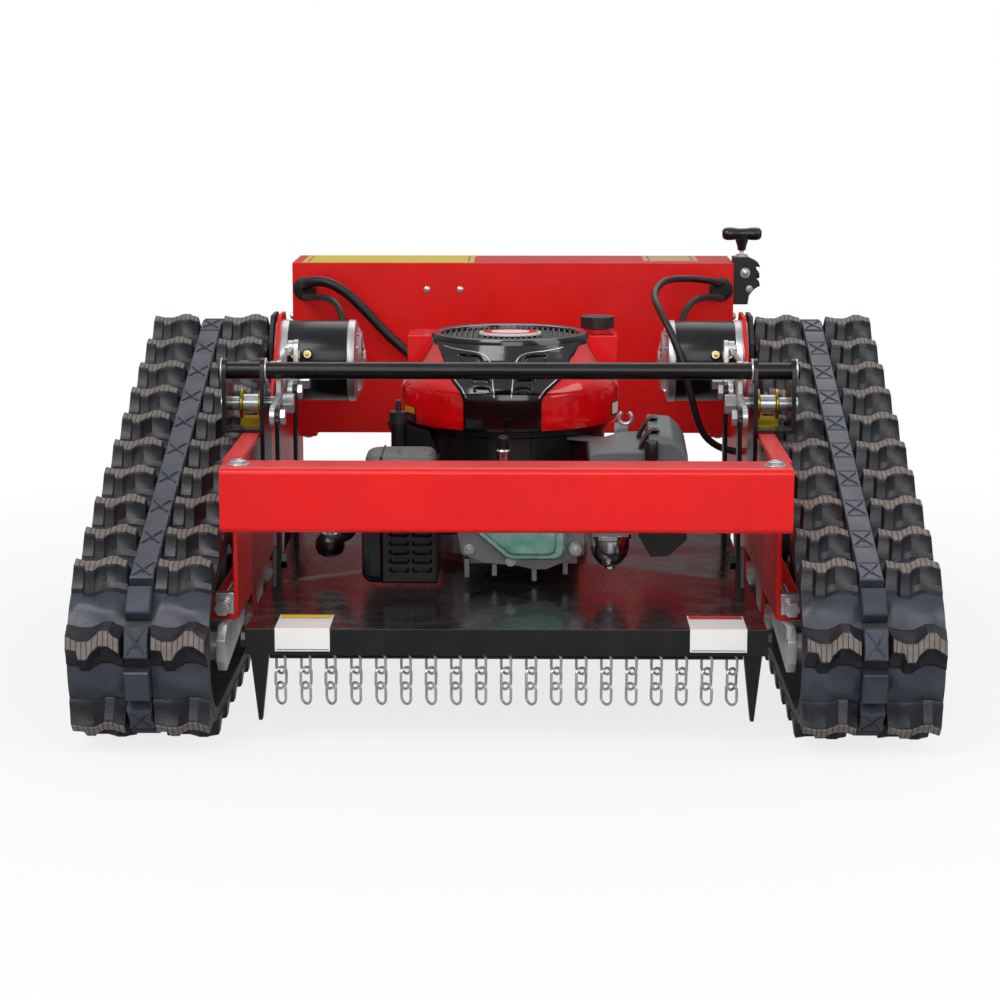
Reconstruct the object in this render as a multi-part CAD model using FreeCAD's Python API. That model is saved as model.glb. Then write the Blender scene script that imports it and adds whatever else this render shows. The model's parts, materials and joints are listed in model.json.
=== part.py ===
import FreeCAD, Part
import math
import os

V = FreeCAD.Vector
ALONG_X = V(1, 0, 0)
ALONG_Z = V(0, 0, 1)

# Remote control slope mower. Millimetres, +Z up, the front faces -Y,
# the origin lies on the ground under the middle of the machine.

# Flat sides that stand for a plain round, by its radius
small_round = 8.0
large_round = 40.0
few_sides = 10
some_sides = 16
many_sides = 32

# Rubber track
track_pitch = 72.0
track_links = 30
sprocket_teeth = 6
belt_width = 150.0
belt_thickness = 13.0
cord_depth = 3.0
lug_height = 24.0
lug_length = 29.0
lug_taper = 6.0
lug_zigzag = 10.0
centre_band_width = 34.0
valley_pad_height = 15.0
valley_pad_length = 26.0
horn_height = 18.0
horn_length = 30.0
horn_width = 11.0
horn_gap = 56.0
track_centre_x = 388.0
front_idler_y = -412.0
sprocket_y = 205.0
sprocket_z = 300.0
running_gap = 0.4
bearing_gap = 0.3

# Wheels inside the track
wheel_width = 46.0
idler_rim = 9.0
idler_web = 12.0
hub_radius = 24.0
hub_width = 58.0
axle_radius = 10.0
axle_head_radius = 16.0
axle_head_length = 8.0
axle_fit = 0.1
road_wheel_radius = 37.0
road_wheel_places = (-130.0, 130.0)
tooth_depth = 21.0
tooth_tip_width = 13.0
tooth_root_width = 30.0

# Side frames, one bent steel plate each
frame_inner_x = 297.0
frame_plate = 5.0
frame_bottom_z = 120.0
frame_front_y = -350.0
frame_flange_x = 335.0
arm_bottom_z = 237.0
arm_top_z = 303.0
arm_rear_y = 40.0
arm_ledge_outer_x = 308.0
arm_ledge_inner_x = 288.0
motor_plate_top_z = 402.0
motor_plate_half_length = 58.0
frame_rear_y = 462.0
axle_lobe_drop = 28.0
axle_lobe_half_width = 24.0

# Front beam, folded sheet with round bends
beam_half_width = 305.0
beam_front_y = -440.0
beam_bottom_z = 233.0
beam_top_z = 303.0
beam_depth = 56.0
beam_sheet = 3.0
beam_bend_radius = 7.0

# Cross bar on its four plates
bar_radius = 10.0
bar_y = -165.0
bar_z = 373.5
bar_half_length = 337.0
stirrup_plate = 5.0
stirrup_outer_x = 327.0
stirrup_front_y = -183.0
stirrup_foot_rear_y = -150.0
stirrup_rear_y = -103.0
stirrup_foot = 4.0
stirrup_inner_bottom_z = 215.0
bar_eye_radius = 15.0

# Lift linkage, four equal rockers
rocker_front_y = -120.0
rocker_rear_y = 100.0
rocker_z = 329.0
rocker_reach = 85.0
rocker_drop = 4.0
rocker_standoff = 29.0
rocker_plate = 6.0
rocker_eye_radius = 14.0
rocker_tie_rise = 40.0
pivot_radius = 8.0
pivot_end_reach = 8.0
pivot_outer_x = 340.0
link_pin_radius = 5.0
link_fit = 0.1
tie_rod_radius = 5.0
tie_eye_radius = 10.0
tie_eye_width = 7.0
side_gap = 0.5
strap_thickness = 5.0
strap_width = 20.0
strap_eye_radius = 11.0
strap_bottom_z = 157.0
nut_thickness = 6.0
nut_radius = 10.0

# Drive motors and their reduction gear cases
motor_axis_y = 205.0
motor_axis_z = 341.0
motor_radius = 53.0
motor_flange_x = 306.0
motor_ring_length = 18.0
motor_can_length = 76.0
motor_cap_length = 22.0
motor_cap_steps = 3
motor_cap_ribs = 6
cap_boss_radius = 15.0
gearcase_plate = 5.0
gearcase_depth = 32.0
gearcase_radius = 58.0
gear_shaft_radius = 14.0
terminal_radius = 5.0
terminal_height = 9.0
terminal_spacing = 22.0

# Control box behind the engine
box_half_width = 300.0
box_front_y = 365.0
box_bottom_z = 222.0
box_top_z = 455.0
box_sheet = 2.5
box_lip = 14.0
cable_hole_inset = 17.0
cable_hole_z = 420.0
cable_hole_radius = 14.0
battery_length = 181.0
battery_width = 77.0
battery_height = 170.0
controller_depth = 60.0
controller_height = 110.0
stop_button_radius = 20.0
stop_button_travel = 4.0
stop_collar_radius = 24.0
stop_collar_depth = 6.0
stop_button_depth = 10.0
stop_button_inset = 90.0
stop_button_z = 395.0

# Mower deck
deck_side_gap = 17.0
deck_front_y = -440.0
deck_rear_y = 290.0
deck_top_z = 129.0
deck_sheet = 4.0
deck_fold_bottom_z = 100.0
deck_skirt_bottom_z = 78.0
deck_corner_cut = 95.0
ear_height = 44.0
ear_half_length = 17.0
spike_inset = 15.0
spike_top_width = 20.0
spike_tip_width = 4.0
spike_tip_z = 27.0
spike_thickness = 6.0

# Chain curtain
chain_count = 19
chain_end_gap = 12.0
chain_links = 3
link_pitch = 17.5
link_wire = 3.0
link_inner_width = 12.0
link_slack = 0.6
curtain_rod_radius = 2.0
curtain_rod_y = -428.0
curtain_rod_z = 95.5

# Engine, upright shaft on the deck
engine_y = 0.0
shaft_radius = 12.5
flywheel_radius = 88.0
flywheel_height = 34.0
flywheel_z = 330.0
blade_length = 540.0
blade_width = 56.0
blade_thickness = 5.0
blade_z = 88.0
blade_hub_radius = 32.0
engine_foot_radius = 95.0
engine_foot_height = 12.0
case_half_width = 84.0
case_front_y = -82.0
case_rear_y = 92.0
case_top_z = 236.0
cylinder_left_x = -52.0
cylinder_right_x = 80.0
cylinder_bottom_z = 152.0
cylinder_top_z = 232.0
cylinder_front_y = -196.0
fin_count = 7
fin_thickness = 3.0
fin_height = 7.0
base_bottom_z = 238.0
base_radius = 116.0
shroud_bottom_z = 296.0
shroud_radius = 134.0
shroud_wall = 3.0
shroud_sides = 24
screen_radius = 96.0
screen_bottom_z = 383.0
screen_top_z = 396.0
screen_hole_radius = 28.0
bib_left_x = -48.0
bib_right_x = 42.0
bib_thickness = 6.0
cover_left_x = -60.0
cover_right_x = 88.0
cover_depth = 30.0
cover_corner = 16.0
muffler_left_x = -166.0
muffler_right_x = -80.0
muffler_front_y = -262.0
muffler_rear_y = -164.0
muffler_bottom_z = 142.0
muffler_top_z = 276.0
muffler_slots = 4
muffler_slot_height = 5.0
muffler_slot_width = 30.0
muffler_slot_depth = 6.0
plug_x = -6.0
plug_length = 52.0
plug_radius = 11.0
filter_left_x = 92.0
filter_right_x = 205.0
filter_front_y = -236.0
filter_rear_y = -140.0
filter_bottom_z = 268.0
filter_top_z = 334.0
carb_x = 117.0
carb_y = -222.0
bowl_radius = 21.0
bowl_bottom_z = 153.0
bowl_height = 34.0
tank_left_x = -130.0
tank_right_x = 134.0
tank_front_y = 92.0
tank_rear_y = 172.0
tank_bottom_z = 300.0
tank_top_z = 386.0
fuel_cap_x = 110.0
fuel_cap_radius = 22.0
fuel_cap_height = 15.0
dipstick_x = -132.0
dipstick_y = -96.0
dipstick_radius = 8.0
dipstick_top_z = 330.0
throttle_x = 132.0
throttle_y = -118.0
throttle_z = 288.0
throttle_reach = 30.0
throttle_plate = 3.0

# Recoil starter handle on the control box
rope_y = 392.0
rope_radius = 3.0
guide_half_width = 17.0
guide_reach = 37.0
guide_bottom_z = 398.0
guide_top_z = 462.0
handle_half_length = 27.0
handle_bottom_z = 484.0
handle_height = 18.0
handle_half_depth = 9.0

# Cables
loom_radius = 7.0
cable_radius = 4.5
cable_sides = 8
cable_turn = 20.0

# Fasteners
bolt_head_radius = 9.0
bolt_head_height = 6.0
rivet_radius = 4.5
rivet_height = 2.0
cut_overrun = 2.0

pitch_radius = sprocket_teeth * track_pitch / (2 * math.pi)
belt_inner_radius = pitch_radius - cord_depth
belt_outer_radius = belt_inner_radius + belt_thickness
lug_radius = belt_outer_radius + lug_height
wheel_z = lug_radius
overall_half_length = lug_radius - front_idler_y
box_rear_y = overall_half_length - stop_collar_depth - stop_button_travel - stop_button_depth
wheel_rim_radius = belt_inner_radius - running_gap
road_wheel_z = lug_radius - belt_inner_radius + running_gap + road_wheel_radius
frame_outer_x = frame_inner_x + frame_plate
cable_hole_x = box_half_width - cable_hole_inset
stop_button_x = box_half_width - stop_button_inset
guide_outer_x = box_half_width + guide_reach
deck_half_width = frame_inner_x - deck_side_gap
spike_centre_x = deck_half_width - spike_inset
chain_span = 2 * (spike_centre_x - spike_top_width / 2 - chain_end_gap)
belt_edge_x = track_centre_x - belt_width / 2
rocker_x = frame_inner_x - rocker_standoff
strap_x = rocker_x - side_gap - strap_thickness
tie_x = rocker_x + rocker_plate + side_gap


def rear_idler_place():
    """Y of the rear idler that makes the belt's pitch line exactly its links long."""
    run_y = sprocket_y - front_idler_y
    run_z = sprocket_z - wheel_z
    top_run = math.hypot(run_y, run_z)
    rest = track_pitch * track_links - 2 * math.pi * pitch_radius - top_run
    base = (rest * rest - run_y * run_y - run_z * run_z) / (2 * (rest - run_y))
    return front_idler_y + base


rear_idler_y = rear_idler_place()


def save(name, solids):
    """Write one sub-part, a solid or a group of separate solids."""
    os.makedirs("parts", exist_ok=True)
    shape = solids[0] if len(solids) == 1 else Part.makeCompound(solids)
    shape.exportStep("parts/" + name + ".step")


def flip(shape):
    """The same piece on the other side of the machine."""
    return shape.mirror(V(0, 0, 0), ALONG_X)


def block(x0, x1, y0, y1, z0, z1):
    """A rectangular block between two corners."""
    return Part.makeBox(x1 - x0, y1 - y0, z1 - z0, V(x0, y0, z0))


def polygon(points):
    """A flat face through a list of points."""
    return Part.Face(Part.makePolygon(points + [points[0]]))


def plate_x(outline, x0, x1):
    """A plate from an outline of (y, z) pairs, between two X places."""
    face = polygon([V(x0, y, z) for y, z in outline])
    return face.extrude(V(x1 - x0, 0, 0))


def plate_y(outline, y0, y1):
    """A plate from an outline of (x, z) pairs, between two Y places."""
    face = polygon([V(x, y0, z) for x, z in outline])
    return face.extrude(V(0, y1 - y0, 0))


def plate_z(outline, z0, z1):
    """A plate from an outline of (x, y) pairs, between two heights."""
    face = polygon([V(x, y, z0) for x, y in outline])
    return face.extrude(V(0, 0, z1 - z0))


def pin_x(x0, x1, y, z, radius):
    """A true cylinder along X, for a shaft, pin or bore that something turns on."""
    return Part.makeCylinder(radius, x1 - x0, V(x0, y, z), ALONG_X)


def pin_z(z0, z1, x, y, radius):
    """A true cylinder along Z, for a shaft, pin or bore that something turns on."""
    return Part.makeCylinder(radius, z1 - z0, V(x, y, z0), ALONG_Z)


def sides_of(radius):
    """How many flat sides stand for a plain round of this radius."""
    return few_sides if radius <= small_round else some_sides if radius < large_round else many_sides


def rod_x(x0, x1, y, z, radius):
    """A plain round bar along X, with flat sides."""
    return plate_x(ring_points(radius, sides_of(radius), y, z), x0, x1)


def rod_y(y0, y1, x, z, radius):
    """A plain round bar along Y, with flat sides."""
    return plate_y(ring_points(radius, sides_of(radius), x, z), y0, y1)


def rod_z(z0, z1, x, y, radius):
    """A plain round bar along Z, with flat sides."""
    return plate_z(ring_points(radius, sides_of(radius), x, y), z0, z1)


def ring_points(radius, sides, cx=0.0, cy=0.0, turn=0.0):
    """Corners of a regular polygon, as pairs."""
    step = 2 * math.pi / sides
    return [
        (cx + radius * math.cos(turn + k * step), cy + radius * math.sin(turn + k * step))
        for k in range(sides)
    ]


def hex_x(x0, x1, y, z, radius):
    """A hexagon head or nut along X."""
    return plate_x(ring_points(radius, 6, y, z), x0, x1)


def hex_y(y0, y1, x, z, radius):
    """A hexagon head along Y."""
    return plate_y(ring_points(radius, 6, x, z), y0, y1)


def hex_z(z0, z1, x, y, radius):
    """A hexagon head along Z."""
    return plate_z(ring_points(radius, 6, x, y), z0, z1)


def skin(rings):
    """A closed solid through rings of equally many corners, with flat sides between them."""
    count = len(rings[0])
    faces = [polygon(rings[0]), polygon(rings[-1])]
    for low, high in zip(rings, rings[1:]):
        for k in range(count):
            after = (k + 1) % count
            faces.append(polygon([low[k], low[after], high[after], high[k]]))
    solid = Part.Solid(Part.Shell(faces))
    return solid if solid.Volume > 0 else solid.reversed()


def fuse(first, others):
    """Join solids into one and drop the seams."""
    return first.multiFuse(others).removeSplitter()


# Track

def loop_runs():
    """Centres of the three wheels and the outward normals of the three runs."""
    centres = [
        V(0, front_idler_y, wheel_z),
        V(0, sprocket_y, sprocket_z),
        V(0, rear_idler_y, wheel_z),
    ]
    normals = []
    for k in range(3):
        run = centres[(k + 1) % 3] - centres[k]
        run.normalize()
        normals.append(V(0, -run.z, run.y))
    return centres, normals


def loop_wire(radius, x):
    """The belt's outline at one radius round the three wheels."""
    centres, normals = loop_runs()
    edges = []
    for k in range(3):
        here, there = centres[k], centres[(k + 1) % 3]
        n, after = normals[k], normals[(k + 1) % 3]
        shift = V(x, 0, 0)
        start = here + n * radius + shift
        end = there + n * radius + shift
        middle = n + after
        middle.normalize()
        edges.append(Part.LineSegment(start, end).toShape())
        edges.append(
            Part.Arc(end, there + middle * radius + shift, there + after * radius + shift).toShape()
        )
    return Part.Wire(edges)


def loop_solid(outer, inner, x0, x1):
    """A band between two outlines of the belt, or all inside one of them."""
    wires = [loop_wire(outer, x0)]
    if inner > 0:
        wires.append(loop_wire(inner, x0))
    return Part.Face(wires).extrude(V(x1 - x0, 0, 0))


def station(distance):
    """Place and outward normal on the pitch line, at a distance from the front idler's top."""
    centres, normals = loop_runs()
    left = distance
    for k in range(3):
        here, there = centres[k], centres[(k + 1) % 3]
        run = there - here
        length = run.Length
        if left <= length:
            run.normalize()
            return here + run * left + normals[k] * pitch_radius, normals[k]
        left -= length
        n, after = normals[k], normals[(k + 1) % 3]
        turn = n.getAngle(after)
        if left <= turn * pitch_radius:
            angle = left / pitch_radius
            tangent = V(0, n.z, -n.y)
            normal = n * math.cos(angle) + tangent * math.sin(angle)
            return there + normal * pitch_radius, normal
        left -= turn * pitch_radius
    return station(0)


def on_belt(shape, distance):
    """Move a shape from the drawing frame to a station; its Z is the outward normal."""
    place, normal = station(distance)
    tangent = V(0, normal.z, -normal.y)
    matrix = FreeCAD.Matrix(
        1, 0, 0, track_centre_x,
        0, tangent.y, normal.y, place.y,
        0, tangent.z, normal.z, place.z,
        0, 0, 0, 1,
    )
    copy = shape.copy()
    copy.Placement = FreeCAD.Placement(matrix)
    return copy


def tread_bar(x0, width):
    """One tapered zigzag bar: a tab towards the front, then a crest and a tab to the rear."""
    near_shares = ((0, 1 / 2), (1 / 4, -1 / 2), (9 / 20, -1 / 2), (7 / 10, 3 / 4), (1, 2 / 5))
    far_shares = ((1, 1 / 2), (4 / 5, 6 / 5), (3 / 5, 6 / 5), (3 / 10, 1 / 10), (0, 3 / 5))
    base = belt_outer_radius - pitch_radius
    rings = []
    for level, drawn_in in ((base - belt_thickness / 2, 0), (base + lug_height, lug_taper)):
        near = [(x0 + width * a, lug_zigzag * b - lug_length / 2 + drawn_in) for a, b in near_shares]
        far = [(x0 + width * a, lug_zigzag * b + lug_length / 2 - drawn_in) for a, b in far_shares]
        rings.append([V(x, y, level) for x, y in near + far])
    return skin(rings)


def tread_unit():
    """One pitch of the tread: a bar each side of the centre band, and the band's pad."""
    half = belt_width / 2
    band = centre_band_width / 2
    base = belt_outer_radius - pitch_radius
    pad = block(
        -band, band, (valley_pad_length - track_pitch) / 2, (track_pitch - valley_pad_length) / 2 + lug_taper,
        base - belt_thickness / 2, base + valley_pad_height,
    )
    return fuse(tread_bar(-half, half - band), [tread_bar(band, half - band), pad])


def tread_lugs(unit):
    """All tread units of one track, seated on the belt."""
    core = loop_solid(belt_outer_radius, 0, belt_edge_x - cut_overrun, belt_edge_x + belt_width + cut_overrun)
    return [on_belt(unit, k * track_pitch).cut(core).Solids[0] for k in range(track_links)]


def track_belt():
    """The belt band with its pairs of guide horns."""
    band = loop_solid(belt_outer_radius, belt_inner_radius, belt_edge_x, belt_edge_x + belt_width)
    sunk = belt_thickness / 2
    base = belt_inner_radius - pitch_radius
    tip_shares = (1, 1 / 2)
    horns = []
    for side in (-1, 1):
        x0 = side * horn_gap / 2
        x1 = side * (horn_gap / 2 + horn_width)
        x_tip = x0 + (x1 - x0) * tip_shares[1]
        foot = horn_length / 2
        tip = horn_length / 4
        horns.append(skin([
            [V(x0, -foot, base + sunk), V(x1, -foot, base + sunk), V(x1, foot, base + sunk),
                V(x0, foot, base + sunk)],
            [V(x0, -tip, base - horn_height), V(x_tip, -tip, base - horn_height),
             V(x_tip, tip, base - horn_height), V(x0, tip, base - horn_height)],
        ]))
    pieces = [on_belt(horn, k * track_pitch) for k in range(track_links) for horn in horns]
    return band.multiFuse(pieces)


# Wheels

def idler(y, z):
    """A wheel with a rim, a thinner web and a hub, turning on its axle."""
    x0 = track_centre_x - wheel_width / 2
    x1 = track_centre_x + wheel_width / 2
    rim_inside = wheel_rim_radius - idler_rim
    wheel = rod_x(x0, x1, y, z, wheel_rim_radius)
    hollow = (wheel_width - idler_web) / 2
    for start in (x0 - cut_overrun, x1 - hollow):
        wheel = wheel.cut(rod_x(start, start + hollow + cut_overrun, y, z, rim_inside))
    hub = rod_x(track_centre_x - hub_width / 2, track_centre_x + hub_width / 2, y, z, hub_radius)
    bore = pin_x(track_centre_x - hub_width, track_centre_x + hub_width, y, z, axle_radius + axle_fit)
    return fuse(wheel, [hub]).cut(bore)


def road_wheel(y):
    """A small plain roller with a hub collar."""
    z = road_wheel_z
    wheel = rod_x(track_centre_x - wheel_width / 2, track_centre_x + wheel_width / 2, y, z, road_wheel_radius)
    hub = rod_x(track_centre_x - hub_width / 2, track_centre_x + hub_width / 2, y, z, hub_radius)
    bore = pin_x(track_centre_x - hub_width, track_centre_x + hub_width, y, z, axle_radius + axle_fit)
    return fuse(wheel, [hub]).cut(bore)


def sprocket():
    """The toothed drive wheel; each tooth is as long as the inside of the belt allows."""
    root = wheel_rim_radius - tooth_depth
    points = []
    for k in range(sprocket_teeth):
        middle = 2 * math.pi * k / sprocket_teeth
        for width, radius, side in (
            (tooth_root_width, root, -1), (tooth_tip_width, wheel_rim_radius, -1),
            (tooth_tip_width, wheel_rim_radius, 1), (tooth_root_width, root, 1),
        ):
            along = math.sqrt(radius * radius - width * width / 4)
            across = side * width / 2
            points.append((
                sprocket_y + along * math.cos(middle) - across * math.sin(middle),
                sprocket_z + along * math.sin(middle) + across * math.cos(middle),
            ))
    x0 = track_centre_x - wheel_width / 2
    x1 = track_centre_x + wheel_width / 2
    body = plate_x(points, x0, x1)
    hub = rod_x(x0 - axle_head_length, x1 + axle_head_length, sprocket_y, sprocket_z, hub_radius)
    bore = pin_x(
        x0 - hub_width, x1 + hub_width, sprocket_y, sprocket_z, gear_shaft_radius + axle_fit
    )
    return fuse(body, [hub]).cut(bore)


def wheel_axles():
    """Axle bolts of the idlers and rollers, through the frame plate or the yoke."""
    axles = []
    outer = track_centre_x + hub_width / 2 + running_gap
    places = [(rear_idler_y, wheel_z, frame_outer_x), (front_idler_y, wheel_z, frame_outer_x)]
    places += [(y, road_wheel_z, frame_outer_x) for y in road_wheel_places]
    for y, z, inner in places:
        shaft = pin_x(inner, outer + axle_head_length, y, z, axle_radius)
        shoulder = rod_x(inner, track_centre_x - hub_width / 2 - running_gap, y, z, axle_head_radius)
        nut = hex_x(outer, outer + axle_head_length, y, z, axle_head_radius)
        axles.append(fuse(shaft, [shoulder, nut]))
    return axles


# Frame

def side_frame():
    """The bent side plate: web, outward floor flange, ledge along the arm and axle lobes."""
    lobe = axle_lobe_half_width
    outline = [
        (frame_front_y, frame_bottom_z), (frame_front_y, arm_bottom_z),
        (beam_front_y + beam_bend_radius, arm_bottom_z),
        (beam_front_y + beam_bend_radius, arm_top_z - beam_sheet),
        (beam_front_y + beam_depth, arm_top_z - beam_sheet), (beam_front_y + beam_depth, arm_top_z),
        (arm_rear_y, arm_top_z),
        (motor_axis_y - motor_plate_half_length, motor_plate_top_z - motor_radius / 2),
        (motor_axis_y - motor_plate_half_length / 2, motor_plate_top_z),
        (motor_axis_y + motor_plate_half_length / 2, motor_plate_top_z),
        (motor_axis_y + motor_plate_half_length, motor_plate_top_z - motor_radius / 2),
        (box_front_y - cut_overrun, box_bottom_z),
        (frame_rear_y, box_bottom_z),
        (frame_rear_y, wheel_z - axle_lobe_drop),
        (rear_idler_y - lobe, wheel_z - axle_lobe_drop),
        (rear_idler_y - 2 * lobe, frame_bottom_z),
    ]
    for y in sorted(road_wheel_places, reverse=True):
        outline += [
            (y + 2 * lobe, frame_bottom_z), (y + lobe / 2, road_wheel_z - axle_lobe_drop / 2),
            (y - lobe / 2, road_wheel_z - axle_lobe_drop / 2), (y - 2 * lobe, frame_bottom_z),
        ]
    web = plate_x(outline, frame_inner_x, frame_outer_x)
    flange = block(
        frame_inner_x, frame_flange_x, frame_front_y,
        rear_idler_y - belt_inner_radius - running_gap - axle_lobe_drop,
        frame_bottom_z, frame_bottom_z + frame_plate,
    )
    ledge = block(
        arm_ledge_inner_x, arm_ledge_outer_x, beam_front_y + beam_depth, arm_rear_y, arm_top_z - frame_plate,
        arm_top_z
    )
    box_seat = block(
        frame_inner_x - box_lip * 2, frame_outer_x, box_front_y - cut_overrun, frame_rear_y,
        box_bottom_z - frame_plate, box_bottom_z,
    )
    frame = fuse(web, [flange, ledge, box_seat])
    gear_hole = rod_x(
        frame_inner_x - cut_overrun, frame_outer_x + cut_overrun, motor_axis_y, motor_axis_z,
        motor_radius + axle_fit * 4
    )
    return frame.cut(gear_hole)


def idler_yoke():
    """The sliding arm that carries the front idler, with its tension screw."""
    x0 = frame_outer_x
    arm_half = axle_lobe_half_width
    arm = plate_x(
        [
            (front_idler_y - arm_half, wheel_z - arm_half / 2),
            (front_idler_y - arm_half / 2, wheel_z - arm_half),
            (frame_front_y + arm_half * 4, frame_bottom_z - arm_half),
            (frame_front_y + arm_half * 4, frame_bottom_z),
            (frame_front_y, frame_bottom_z), (front_idler_y, wheel_z + arm_half),
            (front_idler_y - arm_half, wheel_z + arm_half / 2),
        ],
        x0, x0 + frame_plate * 2,
    )
    bore = rod_x(x0 - cut_overrun, x0 + frame_plate * 3, front_idler_y, wheel_z, axle_head_radius)
    lug_z = frame_bottom_z + frame_plate
    screw_z = lug_z + arm_half / 2
    lug = block(
        x0, x0 + frame_plate * 4, frame_front_y, frame_front_y + frame_plate * 2, lug_z, lug_z + arm_half,
    )
    screw = rod_y(
        frame_front_y - arm_half, frame_front_y + arm_half * 4, x0 + frame_plate * 2, screw_z, link_pin_radius
    )
    head = hex_y(
        frame_front_y - arm_half - bolt_head_height, frame_front_y - arm_half, x0 + frame_plate * 2, screw_z,
        bolt_head_radius,
    )
    return [arm.cut(bore), fuse(lug, [screw, head])]


def front_beam():
    """The folded front beam, open to the rear, with round bends."""
    y0, y1 = beam_front_y, beam_front_y + beam_depth
    z0, z1 = beam_bottom_z, beam_top_z
    x0 = -beam_half_width
    r = beam_bend_radius
    inner_r = r - beam_sheet
    t = beam_sheet
    slope = math.sqrt(1 / 2)

    def corner(y, z, radius, sy, sz):
        """A quarter arc round one bend's centre."""
        a = V(x0, y, z + sz * radius)
        b = V(x0, y - radius * slope, z + sz * radius * slope)
        c = V(x0, y - radius, z)
        return Part.Arc(a, b, c).toShape() if sy > 0 else Part.Arc(c, b, a).toShape()

    def run(a, b):
        """A straight stretch of the section."""
        return Part.LineSegment(V(x0, *a), V(x0, *b)).toShape()

    edges = [
        run((y1, z1), (y0 + r, z1)),
        corner(y0 + r, z1 - r, r, 1, 1),
        run((y0, z1 - r), (y0, z0 + r)),
        corner(y0 + r, z0 + r, r, -1, -1),
        run((y0 + r, z0), (y1, z0)),
        run((y1, z0), (y1, z0 + t)),
        run((y1, z0 + t), (y0 + r, z0 + t)),
        corner(y0 + r, z0 + r, inner_r, 1, -1),
        run((y0 + t, z0 + r), (y0 + t, z1 - r)),
        corner(y0 + r, z1 - r, inner_r, -1, 1),
        run((y0 + r, z1 - t), (y1, z1 - t)),
        run((y1, z1 - t), (y1, z1)),
    ]
    return Part.Face(Part.Wire(edges)).extrude(V(2 * beam_half_width, 0, 0))


def cross_bar():
    """The round bar across the machine."""
    return rod_x(-bar_half_length, bar_half_length, bar_y, bar_z, bar_radius)


def bar_stirrup():
    """One side's plates: outer and inner plate with eyes for the bar, joined by a foot."""
    y0, y1, y2 = stirrup_front_y, stirrup_foot_rear_y, stirrup_rear_y
    foot_z = arm_top_z
    eye = ring_points(bar_eye_radius, 12, bar_y, bar_z)
    outer_outline = [
        (y0, foot_z), (y1, foot_z), (y2 + cut_overrun, rocker_z - bar_eye_radius),
        (y2 + cut_overrun, rocker_z + bar_eye_radius), (bar_y + bar_eye_radius, bar_z),
        (bar_y - bar_eye_radius, bar_z),
        (y0, rocker_z),
    ]
    inner_outline = [
        (y0, stirrup_inner_bottom_z), (y2, stirrup_inner_bottom_z), (y2, rocker_z + bar_eye_radius),
        (bar_y + bar_eye_radius, bar_z), (bar_y - bar_eye_radius, bar_z), (y0, rocker_z),
    ]
    inner_x1 = arm_ledge_inner_x
    inner_x0 = inner_x1 - stirrup_plate
    outer = plate_x(outer_outline, stirrup_outer_x, stirrup_outer_x + stirrup_plate)
    inner = plate_x(inner_outline, inner_x0, inner_x1)
    foot = block(inner_x1 - cut_overrun, stirrup_outer_x + cut_overrun, y0, y1, foot_z, foot_z + stirrup_foot)
    eyes = [plate_x(eye, stirrup_outer_x, stirrup_outer_x + stirrup_plate), plate_x(eye, inner_x0, inner_x1)]
    body = fuse(outer, [inner, foot] + eyes)
    bar_hole = rod_x(inner_x0 - cut_overrun, bar_half_length, bar_y, bar_z, bar_radius)
    shaft_hole = pin_x(inner_x0 - cut_overrun, bar_half_length, rocker_front_y, rocker_z, pivot_radius)
    return body.cut(bar_hole).cut(shaft_hole)


def pivot_shafts():
    """Stub shafts of the four rockers, with collar and end nut."""
    shafts = []
    for y, outer in ((rocker_front_y, pivot_outer_x), (rocker_rear_y, frame_inner_x)):
        inner = rocker_x - running_gap
        start = rocker_x - pivot_end_reach
        shaft = pin_x(start, outer, y, rocker_z, pivot_radius)
        nut = hex_x(start - nut_thickness, inner - side_gap, y, rocker_z, nut_radius + link_pin_radius / 2)
        pieces = [nut]
        if y == rocker_rear_y:
            pieces.append(
                rod_x(tie_x + tie_eye_width + side_gap * 2, outer, y, rocker_z, nut_radius + link_pin_radius),
            )
        shafts.append(fuse(shaft, pieces))
    return shafts


# Lift linkage

def rocker_pin(pivot_y):
    """Place of a rocker's strap pin at rest."""
    reach_y = math.sqrt(rocker_reach * rocker_reach - rocker_drop * rocker_drop)
    return pivot_y - reach_y, rocker_z - rocker_drop


def rocker(pivot_y):
    """A bell crank plate with its strap pin and its tie rod pin."""
    pin_y, pin_z = rocker_pin(pivot_y)
    tie_z = rocker_z + rocker_tie_rise
    x0, x1 = rocker_x, rocker_x + rocker_plate
    small = strap_eye_radius
    outline = [
        (pin_y, pin_z - small), (pivot_y, rocker_z - rocker_eye_radius),
        (pivot_y + rocker_eye_radius, rocker_z), (pivot_y + small, tie_z), (pivot_y - small, tie_z),
        (pivot_y - rocker_eye_radius, rocker_z + rocker_eye_radius), (pin_y, pin_z + small),
    ]
    body = fuse(
        plate_x(outline, x0, x1),
        [rod_x(x0, x1, pin_y, pin_z, small), rod_x(x0, x1, pivot_y, tie_z, small)],
    )
    bore = pin_x(x0 - cut_overrun, x1 + cut_overrun, pivot_y, rocker_z, pivot_radius + link_fit)
    strap_pin = pin_x(strap_x - side_gap - nut_thickness, x0, pin_y, pin_z, link_pin_radius)
    strap_nut = hex_x(strap_x - side_gap - nut_thickness, strap_x - side_gap, pin_y, pin_z, nut_radius)
    tie_pin = pin_x(x1, tie_x + tie_eye_width + side_gap + nut_thickness / 2, pivot_y, tie_z, link_pin_radius)
    return fuse(body.cut(bore), [strap_pin, strap_nut, tie_pin])


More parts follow.
